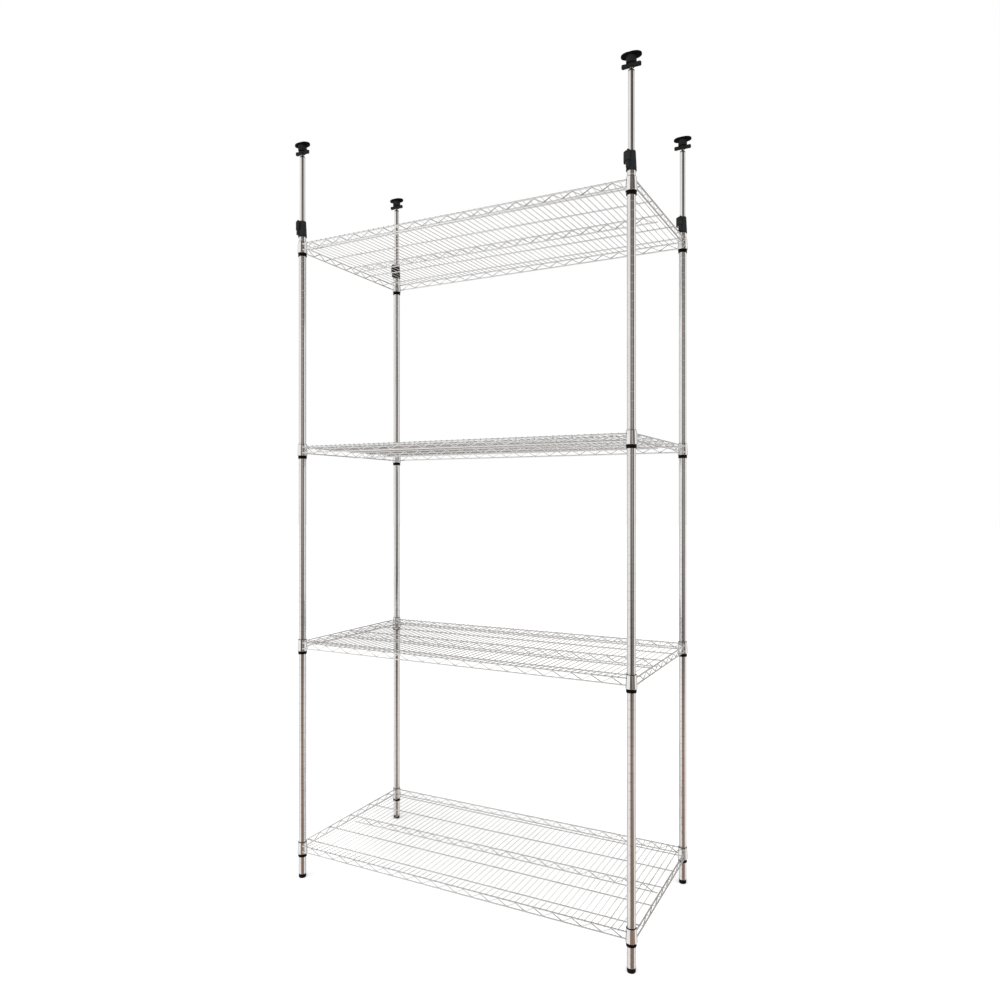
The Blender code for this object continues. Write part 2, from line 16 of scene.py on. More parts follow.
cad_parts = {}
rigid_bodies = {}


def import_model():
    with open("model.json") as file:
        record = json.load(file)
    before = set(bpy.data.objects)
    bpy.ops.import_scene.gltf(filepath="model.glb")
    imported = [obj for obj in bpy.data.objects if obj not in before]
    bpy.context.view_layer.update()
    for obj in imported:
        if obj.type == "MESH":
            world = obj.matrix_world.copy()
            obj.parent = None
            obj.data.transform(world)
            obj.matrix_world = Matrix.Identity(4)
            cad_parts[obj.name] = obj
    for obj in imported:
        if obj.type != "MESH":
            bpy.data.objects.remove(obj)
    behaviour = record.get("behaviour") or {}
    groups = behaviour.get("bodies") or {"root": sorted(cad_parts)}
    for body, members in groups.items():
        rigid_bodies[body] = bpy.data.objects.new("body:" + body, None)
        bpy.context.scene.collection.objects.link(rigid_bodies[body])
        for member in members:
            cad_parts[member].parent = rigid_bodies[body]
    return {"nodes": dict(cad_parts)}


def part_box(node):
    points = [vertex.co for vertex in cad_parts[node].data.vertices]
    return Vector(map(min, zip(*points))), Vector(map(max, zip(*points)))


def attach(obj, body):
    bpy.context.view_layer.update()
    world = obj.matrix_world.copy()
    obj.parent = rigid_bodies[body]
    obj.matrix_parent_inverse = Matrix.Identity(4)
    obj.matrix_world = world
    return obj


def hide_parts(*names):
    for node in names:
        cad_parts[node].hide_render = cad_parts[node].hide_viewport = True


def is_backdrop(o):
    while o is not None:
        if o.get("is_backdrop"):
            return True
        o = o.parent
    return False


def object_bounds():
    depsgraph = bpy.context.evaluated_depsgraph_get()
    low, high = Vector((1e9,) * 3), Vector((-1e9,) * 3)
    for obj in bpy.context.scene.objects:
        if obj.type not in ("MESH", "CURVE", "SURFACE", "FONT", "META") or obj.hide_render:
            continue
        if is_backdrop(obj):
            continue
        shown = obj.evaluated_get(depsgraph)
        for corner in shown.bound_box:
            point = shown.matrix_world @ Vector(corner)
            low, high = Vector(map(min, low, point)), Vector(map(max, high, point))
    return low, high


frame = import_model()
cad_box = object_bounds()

scene = bpy.context.scene
scene.view_settings.view_transform = "Standard"

# %% [markdown]
# Everything repeats at four corners and four levels, so the first values are the axes of the posts and the
# heights of the pieces on them. They could be typed again from the solids. Reading them from the boxes of
# the nodes is safer, because a piece then goes where its node is even when the solids change.

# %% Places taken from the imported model
MM = 0.001
CORNERS = ("front_left", "front_right", "back_left", "back_right")
LEVELS = ("bottom", "second", "third", "top")


def span(node):
    """Lowest and highest height of a node."""
    low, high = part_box(node)
    return low.z, high.z


def half_width(node):
    """Half of a node's width along X."""
    low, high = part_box(node)
    return (high.x - low.x) / 2


def post_axis(corner):
    """Foot of a post's axis on the floor."""
    low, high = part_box("post_" + corner)
    return Vector(((low.x + high.x) / 2, (low.y + high.y) / 2, 0))


axes = {corner: post_axis(corner) for corner in CORNERS}
HALF_X = axes["back_right"].x
HALF_Y = axes["back_right"].y
POST_RADIUS = half_width("post_front_left")
POLE_RADIUS = half_width("inner_pole_front_left")
print("posts", round(2 * HALF_X, 4), "by", round(2 * HALF_Y, 4), "apart, radius", round(POST_RADIUS, 4))

# %% [markdown]
# The camera stands in front of the right-hand post at about half the unit's height and looks level, which
# keeps the posts upright in the picture. Its place and lens were worked out from where the four posts and
# the shelves appear in the photograph.

# %% Camera
CAMERA_PLACE = Vector((1.2768, -2.3946, 1.3247))
CAMERA_HEADING = math.radians(27.387)
CAMERA_LENS = 27.965
CAMERA_SHIFT = (-0.0003, 0.0004)
SENSOR_WIDTH = 36

camera = bpy.data.objects.new("photo camera", bpy.data.cameras.new("photo camera"))
camera.data.sensor_width = SENSOR_WIDTH
camera.data.lens = CAMERA_LENS
camera.data.shift_x, camera.data.shift_y = CAMERA_SHIFT
camera.location = CAMERA_PLACE
camera.rotation_euler = (math.pi / 2, 0, CAMERA_HEADING)
scene.collection.objects.link(camera)
scene.camera = camera
print("camera lens", CAMERA_LENS, "mm at", tuple(CAMERA_PLACE))

# %% [markdown]
# Materials and the world are made of nodes. They are easier to read when one small function adds a node and
# fills it. Values fill the node's inputs in their order, capitalised names fill the input of that name, and
# names in small letters are settings of the node. A value may also be another node, which is then linked.

# %% A helper for nodes


def fill(socket, value):
    """Set an input's value, or link it; a whole node stands for its first output."""
    if isinstance(value, bpy.types.Node):
        value = value.outputs[0]
    if isinstance(value, bpy.types.NodeSocket):
        socket.id_data.links.new(value, socket)
    else:
        socket.default_value = value


def add_node(tree, kind, *values, **named):
    """Add a node to a tree, with its settings and what goes into its inputs."""
    made = tree.nodes.new(kind)
    for name in [name for name in named if name.islower()]:
        setattr(made, name, named.pop(name))
    for socket, value in zip(made.inputs, values):
        fill(socket, value)
    for name, value in named.items():
        fill(made.inputs[name.replace("_", " ")], value)
    return made


# %% [markdown]
# The unit stands on a wide floor of white paper. A small glow that only the camera sees lifts the paper to
# the white of the world, and the shadow of the feet stays on it. The chrome doesn't mirror the floor, so that
# it shows the white room all round.

# %% Floor
WHITE = (1, 1, 1, 1)
FLOOR_RADIUS = 40
FLOOR_SIDES = 64
FLOOR_DROP = 0.2 * MM
FLOOR_WHITE = (0.93, 0.93, 0.93, 1)
FLOOR_GLOW = 0.32


def disc(radius, height, sides):
    """Start a flat round sheet at a height."""
    shape = bmesh.new()
    lift = Matrix.Translation((0, 0, height))
    bmesh.ops.create_circle(shape, cap_ends=True, segments=sides, radius=radius, matrix=lift)
    return shape


def stage_object(name, shape, material):
    """Turn a bmesh into an object of the stage, which isn't part of the shelving unit."""
    mesh = bpy.data.meshes.new(name)
    shape.to_mesh(mesh)
    shape.free()
    mesh.materials.append(material)
    made = bpy.data.objects.new(name, mesh)
    scene.collection.objects.link(made)
    made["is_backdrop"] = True
    return made


def bare_material(name):
    """Start a material without any nodes."""
    material = bpy.data.materials.new(name)
    material.use_nodes = True
    material.node_tree.nodes.clear()
    return material, material.node_tree


paper, tree = bare_material("white floor paper")
seen = add_node(tree, "ShaderNodeLightPath").outputs["Is Camera Ray"]
share = add_node(tree, "ShaderNodeMath", seen, FLOOR_GLOW, operation="MULTIPLY")
glow = add_node(tree, "ShaderNodeEmission", Color=WHITE, Strength=share)
diffuse = add_node(tree, "ShaderNodeBsdfDiffuse", Color=FLOOR_WHITE)
both = add_node(tree, "ShaderNodeAddShader", diffuse, glow)
add_node(tree, "ShaderNodeOutputMaterial", Surface=both)
floor = stage_object("floor", disc(FLOOR_RADIUS, -FLOOR_DROP, FLOOR_SIDES), paper)
floor.visible_glossy = False
print("floor is", 2 * FLOOR_RADIUS, "m wide")

# %% [markdown]
# The world is a plain white for the camera and for what metal mirrors. The soft light that it sheds is strong
# from the front and dim from behind, so that the dull black pieces have darker sides. An even light would be
# simpler, but it would leave the black pieces flat.

# %% World
SKY_DIM = 0.3
SKY_BRIGHT = 2.2
SKY_EDGE = -0.2
SKY_FRONT = (0.47, -0.88, 0.07)

world = bpy.data.worlds.new("white studio")
world.use_nodes = True
scene.world = world
tree = world.node_tree
tree.nodes.clear()
place = add_node(tree, "ShaderNodeTexCoord").outputs["Generated"]
facing = add_node(tree, "ShaderNodeVectorMath", place, SKY_FRONT, operation="DOT_PRODUCT").outputs["Value"]
fall = add_node(tree, "ShaderNodeMapRange", facing, From_Min=SKY_EDGE, To_Min=SKY_DIM, To_Max=SKY_BRIGHT)
soft_light = add_node(tree, "ShaderNodeBackground", Color=WHITE, Strength=fall)
backdrop = add_node(tree, "ShaderNodeBackground", Color=WHITE, Strength=1)
path = add_node(tree, "ShaderNodeLightPath")
seen = path.outputs["Is Camera Ray"]
for ray in ("Is Glossy Ray", "Is Transmission Ray"):
    seen = add_node(tree, "ShaderNodeMath", seen, path.outputs[ray], operation="MAXIMUM")
choice = add_node(tree, "ShaderNodeMixShader", seen, soft_light, backdrop)
add_node(tree, "ShaderNodeOutputWorld", Surface=choice)
print("world sheds soft light of", SKY_BRIGHT, "from the front and", SKY_DIM, "from behind")

# %% [markdown]
# Chrome has no colour of its own: in an all-white room it would look like white paper. A studio stands tall
# cards round the set so that a chromed tube shows dark bands. Here a card glows in a few colours up its
# height, and it ends softly on both sides, as a card that is out of focus does.

# %% Finish of a card
CARD_BOTTOM = -9
CARD_TOP = 11
CARD_FADE = math.radians(7)


def card_material(name, first, last, colours):
    """Glowing card with a few colours up its height, which fades out at its two sides."""
    material, tree = bare_material(name)
    place = add_node(tree, "ShaderNodeTexCoord").outputs["Object"]
    parts = add_node(tree, "ShaderNodeSeparateXYZ", place).outputs
    heading = add_node(tree, "ShaderNodeMath", parts["Y"], parts["X"], operation="ARCTAN2")
    cover = add_node(tree, "ShaderNodeMath", operation="MULTIPLY")
    fades = ((first, first + CARD_FADE, 0, 1), (last - CARD_FADE, last, 1, 0))
    for socket, ends in zip(cover.inputs, fades):
        fill(socket, add_node(tree, "ShaderNodeMapRange", heading, *ends, interpolation_type="SMOOTHSTEP"))
    height = add_node(tree, "ShaderNodeMapRange", parts["Z"], CARD_BOTTOM, CARD_TOP)
    ramp = add_node(tree, "ShaderNodeValToRGB", height)
    stops = ramp.color_ramp.elements
    while len(stops) < len(colours):
        stops.new(0.5)
    for stop, (level, colour) in zip(stops, colours):
        stop.position = (level - CARD_BOTTOM) / (CARD_TOP - CARD_BOTTOM)
        stop.color = (*colour, 1)
    clear = add_node(tree, "ShaderNodeBsdfTransparent")
    glow = add_node(tree, "ShaderNodeEmission", Color=ramp)
    choice = add_node(tree, "ShaderNodeMixShader", cover, clear, glow)
    add_node(tree, "ShaderNodeOutputMaterial", Surface=choice)
    return material


# %% [markdown]
# Each card is a slice of a wide drum, spun from one upright edge. Only mirror rays see the cards, so they put
# no light or shadow on the unit and never show in the picture. Two of them stand a little nearer, in front of
# the wide brown one.

# %% Cards that the chrome mirrors
CARD_RADIUS = 12
NEAR_CARD_RADIUS = 11.6
CARD_STEPS = 24


def show_in_mirrors_only(card):
    """Hide a card from all rays but those that metal mirrors."""
    for ray in ("camera", "diffuse", "transmission", "volume_scatter", "shadow"):
        setattr(card, "visible_" + ray, False)


def spin_round(shape, geometry, angle, steps, **more):
    """Spin points and edges about the Z axis."""
    bmesh.ops.spin(shape, geom=geometry, cent=(0, 0, 0), axis=(0, 0, 1), angle=angle, steps=steps, **more)


def stand_card(name, first_degrees, last_degrees, distance, colours):
    """Stand a curved card between two headings, counted from +X towards +Y."""
    first, last = math.radians(first_degrees), math.radians(last_degrees)
    x, y = distance * math.cos(first), distance * math.sin(first)
    shape = bmesh.new()
    ends = [shape.verts.new((x, y, height)) for height in (CARD_BOTTOM, CARD_TOP)]
    spin_round(shape, [*ends, shape.edges.new(ends)], last - first, CARD_STEPS)
    card = stage_object(name, shape, card_material(name, first, last, colours))
    show_in_mirrors_only(card)
    print(name, "stands from", first_degrees, "to", last_degrees, "degrees")


TAN = (0.30, 0.20, 0.15)
PALE_TAN = (0.64, 0.52, 0.45)
WARM_GREY = (0.46, 0.40, 0.37)
GREY = (0.36, 0.34, 0.32)
BROWN = (0.22, 0.18, 0.155)
DARK_BROWN = (0.13, 0.105, 0.085)
DEEP_BROWN = (0.085, 0.066, 0.054)
NEAR_BLACK = (0.025, 0.018, 0.014)
BROWN_CARD = ((-3, TAN), (-1.3, BROWN), (1, WARM_GREY), (4, WARM_GREY), (8, DARK_BROWN))
FRONT_CARD = ((-3, TAN), (-1.4, NEAR_BLACK), (1, DARK_BROWN), (4, BROWN), (6.5, DARK_BROWN))
RIGHT_CARD = ((-5, TAN), (-3, PALE_TAN), (-1.3, BROWN), (1.2, DARK_BROWN), (4, DEEP_BROWN))
GREY_CARD = ((-4, GREY), (4, GREY))
PLAIN_CARD = ((-4.5, TAN), (0.5, WARM_GREY))
stand_card("front brown card", -97, 2, CARD_RADIUS, BROWN_CARD)
stand_card("front dark card", -96, -60, NEAR_CARD_RADIUS, FRONT_CARD)
stand_card("right dark card", -38, 0, NEAR_CARD_RADIUS, RIGHT_CARD)
stand_card("back dark card", 92, 122, CARD_RADIUS, FRONT_CARD)
stand_card("back right card", 48, 80, CARD_RADIUS, GREY_CARD)
stand_card("left grey card", 150, 176, CARD_RADIUS, PLAIN_CARD)

# %% [markdown]
# Wires lie flat, so they mirror what is above them more than what stands round them. A dark card overhead
# draws a thin dark line along each wire, and round one flank of each groove on the posts.

# %% Card overhead
OVERHEAD_HEIGHT = 12
OVERHEAD_RADIUS = 11
OVERHEAD_SIDES = 48

ceiling, tree = bare_material("overhead card")
glow = add_node(tree, "ShaderNodeEmission", Color=(*NEAR_BLACK, 1))
add_node(tree, "ShaderNodeOutputMaterial", Surface=glow)
shape = disc(OVERHEAD_RADIUS, OVERHEAD_HEIGHT, OVERHEAD_SIDES)
show_in_mirrors_only(stage_object("overhead card", shape, ceiling))
print("overhead card is", 2 * OVERHEAD_RADIUS, "m wide")

# %% [markdown]
# One broad lamp to the left of the camera gives the dull black pieces a lit and a shaded side. It is large
# and soft, and mirror rays don't see it, so the chrome shows only the white room and the cards.

# %% Soft lamp
LAMP_PLACE = Vector((-2.2, -4.4, 3.2))
LAMP_AIM = Vector((0, 0, 1.2))
LAMP_SIZE = 2.6
LAMP_WATTS = 35

lamp = bpy.data.objects.new("soft lamp", bpy.data.lights.new("soft lamp", "AREA"))
lamp.data.shape = "SQUARE"
lamp.data.size = LAMP_SIZE
lamp.data.energy = LAMP_WATTS
lamp.location = LAMP_PLACE
lamp.rotation_euler = (LAMP_AIM - LAMP_PLACE).to_track_quat("-Z", "Y").to_euler()
lamp.visible_glossy = False
scene.collection.objects.link(lamp)
print("lamp of", LAMP_WATTS, "W,", LAMP_SIZE, "m wide")

# %% [markdown]
# Three effects serve more than one finish, so each is a node group: handling marks on metal, the grain of a
# moulded surface, and a mask along the edges, which carries rubbed wear on some finishes and painted shade on
# others. Groups read Object coordinates in metres, so a scale of 1000 gives marks about a millimetre across,
# and the pattern stays put on the piece.

# %% Node groups shared by the finishes
CLOUD_SCALE = 14
LINE_SCALE = 900
GRAIN_SCALE = 1500
TONE_SCALE = 40
WEAR_AND_SHADE_WIDTH = 0.6 * MM
BREAK_SCALE = 300
NOISE_DETAIL = 3
DRAWN_STRETCH = (1, 1, 0.02)
BEVEL_SAMPLES = 4
EDGE_STARTS = 0.995
EDGE_FULL = 0.86


def new_group(name, inputs, outputs):
    """Start a shader node group with float inputs and outputs."""
    group = bpy.data.node_groups.new(name, "ShaderNodeTree")
    for label, value in inputs.items():
        socket = group.interface.new_socket(label, in_out="INPUT", socket_type="NodeSocketFloat")
        socket.default_value = value
    for label in outputs:
        group.interface.new_socket(label, in_out="OUTPUT", socket_type="NodeSocketFloat")
    given = add_node(group, "NodeGroupInput").outputs
    wanted = add_node(group, "NodeGroupOutput").inputs
    return group, given, wanted


def noise_at(group, scale, stretch=(1, 1, 1)):
    """Noise on Object coordinates, stretched along an axis, with its scale from a socket."""
    place = add_node(group, "ShaderNodeTexCoord").outputs["Object"]
    mapping = add_node(group, "ShaderNodeMapping", Vector=place, Scale=stretch)
    return add_node(group, "ShaderNodeTexNoise", Vector=mapping, Scale=scale, Detail=NOISE_DETAIL)


scales = {"Cloud Scale": CLOUD_SCALE, "Line Scale": LINE_SCALE}
marks, given, wanted = new_group("handling marks", scales, ("Clouds", "Lines"))
fill(wanted["Clouds"], noise_at(marks, given["Cloud Scale"]))
fill(wanted["Lines"], noise_at(marks, given["Line Scale"], DRAWN_STRETCH))

scales = {"Grain Scale": GRAIN_SCALE, "Tone Scale": TONE_SCALE}
grain, given, wanted = new_group("moulded grain", scales, ("Height", "Tone"))
fill(wanted["Height"], noise_at(grain, given["Grain Scale"]))
fill(wanted["Tone"], noise_at(grain, given["Tone Scale"]))

# This mask marks the edges: finishes paint paler wear there, and darker painted shade on clamps and handles.
scales = {"Width": WEAR_AND_SHADE_WIDTH, "Break Scale": BREAK_SCALE}
wear_and_shade, given, wanted = new_group("rubbed edges", scales, ("Edge",))
soft = add_node(wear_and_shade, "ShaderNodeBevel", Radius=given["Width"], samples=BEVEL_SAMPLES)
true_normal = add_node(wear_and_shade, "ShaderNodeNewGeometry").outputs["Normal"]
agree = add_node(wear_and_shade, "ShaderNodeVectorMath", soft, true_normal, operation="DOT_PRODUCT").outputs["Value"]
edge = add_node(wear_and_shade, "ShaderNodeMapRange", agree, EDGE_STARTS, EDGE_FULL)
breaks = noise_at(wear_and_shade, given["Break Scale"])
fill(wanted["Edge"], add_node(wear_and_shade, "ShaderNodeMath", edge, breaks, operation="MULTIPLY"))
print("node groups", [group.name for group in (marks, grain, wear_and_shade)])

# %% [markdown]
# All the bright pieces share one kind of finish: chrome over drawn steel. A real plated tube is never equally
# bright, so slow clouds shift its colour and its roughness a little, and faint lines along the draw direction
# ripple the surface. The colours are grey, because the room gives chrome its light and dark.

# %% Chrome finishes
NOISE_MIDDLE = (0.3, 0.7)
DRAWN_STRENGTH = 0.05
DRAWN_DEPTH = 0.1 * MM


def surface(name):
    """Start a material and return it with its tree and its Principled shader's inputs."""
    material = bpy.data.materials.new(name)
    material.use_nodes = True
    return material, material.node_tree, material.node_tree.nodes["Principled BSDF"].inputs


def blend(tree, factor, first, second):
    """Colour that goes from the first to the second with a factor; either may be a socket."""
    mix = add_node(tree, "ShaderNodeMix", factor, data_type="RGBA")
    ends = [socket for socket in mix.inputs if socket.type == "RGBA"]
    for socket, colour in zip(ends, (first, second)):
        fill(socket, colour if isinstance(colour, bpy.types.NodeSocket) else (*colour, 1))
    return next(socket for socket in mix.outputs if socket.type == "RGBA")


def between(tree, factor, low, high):
    """Value that goes from low to high while noise goes through its middle range."""
    return add_node(tree, "ShaderNodeMapRange", factor, *NOISE_MIDDLE, low, high)


def ripple(tree, height, strength, depth):
    """Normal of a surface that a pattern's height ripples."""
    return add_node(tree, "ShaderNodeBump", Strength=strength, Distance=depth, Height=height)


def chrome(name, bright, dull, smoothest, roughest, cloud_scale=CLOUD_SCALE):
    """Plated finish whose colour and roughness drift in clouds."""
    material, tree, shader = surface(name)
    worn = add_node(tree, "ShaderNodeGroup", node_tree=marks, Cloud_Scale=cloud_scale, Line_Scale=LINE_SCALE)
    clouds = worn.outputs["Clouds"]
    fill(shader["Metallic"], 1)
    fill(shader["Base Color"], blend(tree, between(tree, clouds, 0, 1), bright, dull))
    fill(shader["Roughness"], between(tree, clouds, smoothest, roughest))
    fill(shader["Normal"], ripple(tree, worn.outputs["Lines"], DRAWN_STRENGTH, DRAWN_DEPTH))
    return material


post_chrome = chrome("post chrome", (0.765, 0.76, 0.755), (0.705, 0.7, 0.695), 0.06, 0.12)
pole_chrome = chrome("pole chrome", (0.79, 0.785, 0.78), (0.72, 0.715, 0.71), 0.06, 0.12)
collar_chrome = chrome("collar chrome", (0.82, 0.82, 0.82), (0.76, 0.76, 0.76), 0.08, 0.16, 30)
edge_chrome = chrome("edge chrome", (0.8, 0.795, 0.79), (0.74, 0.735, 0.73), 0.05, 0.1, 25)
wire_chrome = chrome("wire chrome", (0.78, 0.775, 0.77), (0.72, 0.715, 0.71), 0.05, 0.1, 25)
plug_chrome = chrome("plug chrome", (0.14, 0.14, 0.14), (0.09, 0.09, 0.09), 0.15, 0.25, 60)
thread_steel = chrome("thread steel", (0.4, 0.4, 0.41), (0.28, 0.28, 0.29), 0.2, 0.34, 80)
print("chrome finishes made")

# %% [markdown]
# The sleeves, clamps, handles, feet and pads are black mouldings. Their grain is a fine bump, the tone shifts
# a little over a few centimetres, and their edges have a tone of their own: paler on sleeves, feet and pads,
# which is wear where hands and floors rub them, and a deeper black on clamps and handles, which is painted
# shade along their edges. The rubber of the pads is duller than the plastic, and the hidden insert in a post's
# end is grey.

# %% Moulded finishes
DEEPER = 0.7
GRAIN_STRENGTH = 0.25
GRAIN_DEPTH = 0.08 * MM


def moulding(name, colour, edge_wear_and_shade_colour, smoothest, roughest, grain_scale, gloss):
    """Moulded finish with a fine grain, a drifting tone, and edges in a colour of their own: paler for wear,
    darker for painted shade.
    """
    material, tree, shader = surface(name)
    texture = add_node(tree, "ShaderNodeGroup", node_tree=grain, Grain_Scale=grain_scale).outputs
    edges = add_node(tree, "ShaderNodeGroup", node_tree=wear_and_shade)
    deeper = tuple(DEEPER * part for part in colour)
    toned = blend(tree, between(tree, texture["Tone"], 0, 1), colour, deeper)
    fill(shader["Specular IOR Level"], gloss)
    fill(shader["Base Color"], blend(tree, edges, toned, edge_wear_and_shade_colour))
    fill(shader["Roughness"], between(tree, texture["Tone"], smoothest, roughest))
    fill(shader["Normal"], ripple(tree, texture["Height"], GRAIN_STRENGTH, GRAIN_DEPTH))
    return material


def grey(value):
    return (value, value, value)


# Edge colours: paler on sleeves, pads, feet and inserts for rubbed wear, darker on clamps and handles, which
# is painted shade along their edges.
sleeve_black = moulding("sleeve black", grey(0.003), grey(0.009), 0.4, 0.55, 1600, 0.06)
clamp_black = moulding("clamp black", (0.021, 0.0215, 0.0225), grey(0.005), 0.4, 0.55, 1400, 0.06)
handle_black = moulding("handle black", grey(0.0165), grey(0.004), 0.4, 0.55, 1400, 0.05)
pad_rubber = moulding("pad rubber", grey(0.003), grey(0.009), 0.55, 0.75, 2200, 0.05)
foot_black = moulding("foot black", grey(0.004), grey(0.015), 0.45, 0.6, 1600, 0.08)
insert_grey = moulding("insert grey", grey(0.2), grey(0.3), 0.45, 0.6, 1600, 0.4)
print("moulded finishes made")

# %% [markdown]
# Most pieces on a post are round, so they are turned as on a lathe: an outline of radii and heights is drawn
# in the XZ plane, its corners are rounded, and it is spun about the post's axis. Stacked cylinders would be
# quicker, but they leave seams and hard corners that no moulding has. An outline whose ends lie on the axis
# closes into a solid, and a closed outline gives a ring. The rims use a small set of roundings.

# %% Turning a piece
TURN_STEPS = 48
CORNER_SEGMENTS = 3
SAME_POINT = 0.001 * MM
CRISP_RIM = 0.2 * MM
FINE_RIM = 0.3 * MM
TUBE_RIM = 0.4 * MM
SOFT_RIM = 0.5 * MM
BROAD_RIM = 0.6 * MM


def round_off(shape, geometry, affect, size, segments):
    """Bevel points or edges to a round."""
    rounding = {"affect": affect, "offset": size, "segments": segments, "profile": 0.5, "material": -1}
    bmesh.ops.bevel(shape, geom=geometry, offset_type="OFFSET", **rounding)


def draw_outline(shape, outline, closed):
    """Draw a (radius, height, rounding) outline as edges and round the corners that ask for it."""
    points = [shape.verts.new((radius, 0, height)) for radius, height, rounding in outline]
    following = points[1:] + points[:1] if closed else points[1:]
    for pair in zip(points, following):
        shape.edges.new(pair)
    for size in sorted({rounding for radius, height, rounding in outline if rounding}):
        corners = [point for point, corner in zip(points, outline) if corner[2] == size]
        round_off(shape, corners, "VERTICES", size, CORNER_SEGMENTS)


def turned(outline, closed=False, steps=TURN_STEPS):
    """Spin an outline once round the Z axis."""
    shape = bmesh.new()
    draw_outline(shape, outline, closed)
    spin_round(shape, shape.verts[:] + shape.edges[:], 2 * math.pi, steps, use_merge=True)
    bmesh.ops.remove_doubles(shape, verts=shape.verts[:], dist=SAME_POINT)
    return shape


# %% [markdown]
# Two small functions finish every piece. The first turns a bmesh into a mesh whose faces point outwards, with
# smooth shading that breaks at real edges, and gives it its finishes. The second puts a copy of it in its
# place as an object, hangs it on the body that carries it, and hides the plain solid it stands for. A modifier
# lets large faces rule the shading next to a small rounded rim, so that a long tube stays straight in its
# reflections up to its end.

# %% Finishing a piece
SHARP_ANGLE = math.radians(38)


def finished_mesh(shape, *finishes):
    """Turn a bmesh into a smooth-shaded mesh with its finishes."""
    bmesh.ops.recalc_face_normals(shape, faces=shape.faces[:])
    mesh = bpy.data.meshes.new("piece")
    shape.to_mesh(mesh)
    shape.free()
    for finish in finishes:
        mesh.materials.append(finish)
    mesh.shade_smooth()
    mesh.set_sharp_from_angle(angle=SHARP_ANGLE)
    return mesh


def set_piece(name, mesh, place, body, node):
    """Put a copy of a mesh in its place, on its body, instead of a plain solid."""
    copy = mesh.copy()
    copy.name = name
    copy.transform(Matrix.Translation(place))
    made = bpy.data.objects.new(name, copy)
    scene.collection.objects.link(made)
    even = made.modifiers.new("even shading", "WEIGHTED_NORMAL")
    even.keep_sharp = True
    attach(made, body)
    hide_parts(node)


def set_at_corners(kind, node_kind, shape, finishes, body_kind=None):
    """Set one shape on each post's axis; pieces without a body of their own ride on the frame."""
    mesh = finished_mesh(shape, *finishes)
    for corner, axis in axes.items():
        body = f"{body_kind}_{corner}" if body_kind else "frame"
        set_piece(f"{kind}_{corner}", mesh, axis, body, f"{node_kind}_{corner}")
    print(kind, "has", len(mesh.polygons), "faces, at", len(axes), "corners")


# %% [markdown]
# A post is a tube of one inch with a groove rolled round it at every inch. The grooves could be a bump in the
# finish, but they are real notches that the sleeves lock into, so they are in the outline that is spun. They
# are counted from the groove that seats the lowest shelf.

# %% Grooved posts
GROOVE_PITCH = 25.4 * MM
GROOVE_HALF = 0.7 * MM
GROOVE_DEPTH = 0.35 * MM
GROOVE_FLOOR = 0.3 * MM
POST_WALL = 1.2 * MM
POST_STEPS = 32

post_bottom, post_top = span("post_front_left")
sleeve_bottom, sleeve_top = span("sleeve_bottom_front_left")
collar_bottom, collar_top = span("bottom_shelf")
first_seat = (sleeve_bottom + collar_bottom) / 2

steps_down = int((first_seat - post_bottom - GROOVE_HALF) / GROOVE_PITCH)
steps_up = int((post_top - GROOVE_HALF - first_seat) / GROOVE_PITCH)
outline = [(POST_RADIUS - POST_WALL, post_bottom, 0), (POST_RADIUS, post_bottom, TUBE_RIM)]
for step in range(-steps_down, steps_up + 1):
    middle = first_seat + step * GROOVE_PITCH
    outline += [
        (POST_RADIUS, middle - GROOVE_HALF, 0),
        (POST_RADIUS - GROOVE_DEPTH, middle - GROOVE_FLOOR, 0),
        (POST_RADIUS - GROOVE_DEPTH, middle + GROOVE_FLOOR, 0),
        (POST_RADIUS, middle + GROOVE_HALF, 0),
    ]
outline += [(POST_RADIUS, post_top, TUBE_RIM), (POST_RADIUS - POST_WALL, post_top, 0)]
shape = turned(outline, closed=True, steps=POST_STEPS)
set_at_corners("grooved_post", "post", shape, [post_chrome])
print("grooves on a post", steps_down + steps_up + 1)

# %% [markdown]
# A foot is a black cap as wide as the post, rounded where it meets the floor, on a threaded stud that screws
# up into the post. The stud shows only when the foot is screwed out. Its thread is a small tooth spun up a
# helix: spin moves the tooth by a share of the pitch at each step.

# %% Feet on threaded studs
THREAD_PITCH = 1.25 * MM
THREAD_DEPTH = 0.7 * MM
THREAD_STEPS = 12
THREAD_END = 0.5 * MM
FOOT_ROUNDING = 3 * MM
FOOT_CAP = 14 * MM
STUD_RADIUS = 4 * MM


def close_ends(shape):
    """Fill the open ends of a sweep."""
    ends = [edge for edge in shape.edges if edge.is_boundary]
    bmesh.ops.holes_fill(shape, edges=ends, sides=0)


def add_thread(shape, radius, bottom, top):
    """Wind a thread tooth up a rod between two heights."""
    root = radius - THREAD_DEPTH
    turns = int((top - bottom) / THREAD_PITCH) - 1
    section = [(root, bottom), (radius, bottom + THREAD_PITCH / 2), (root, bottom + THREAD_PITCH)]
    tooth = [shape.verts.new((reach, 0, height)) for reach, height in section]
    sides = [shape.edges.new(pair) for pair in zip(tooth, tooth[1:] + tooth[:1])]
    climb = (0, 0, THREAD_PITCH / THREAD_STEPS)
    spin_round(shape, tooth + sides, 2 * math.pi * turns, THREAD_STEPS * turns, dvec=climb)
    close_ends(shape)
    return turns


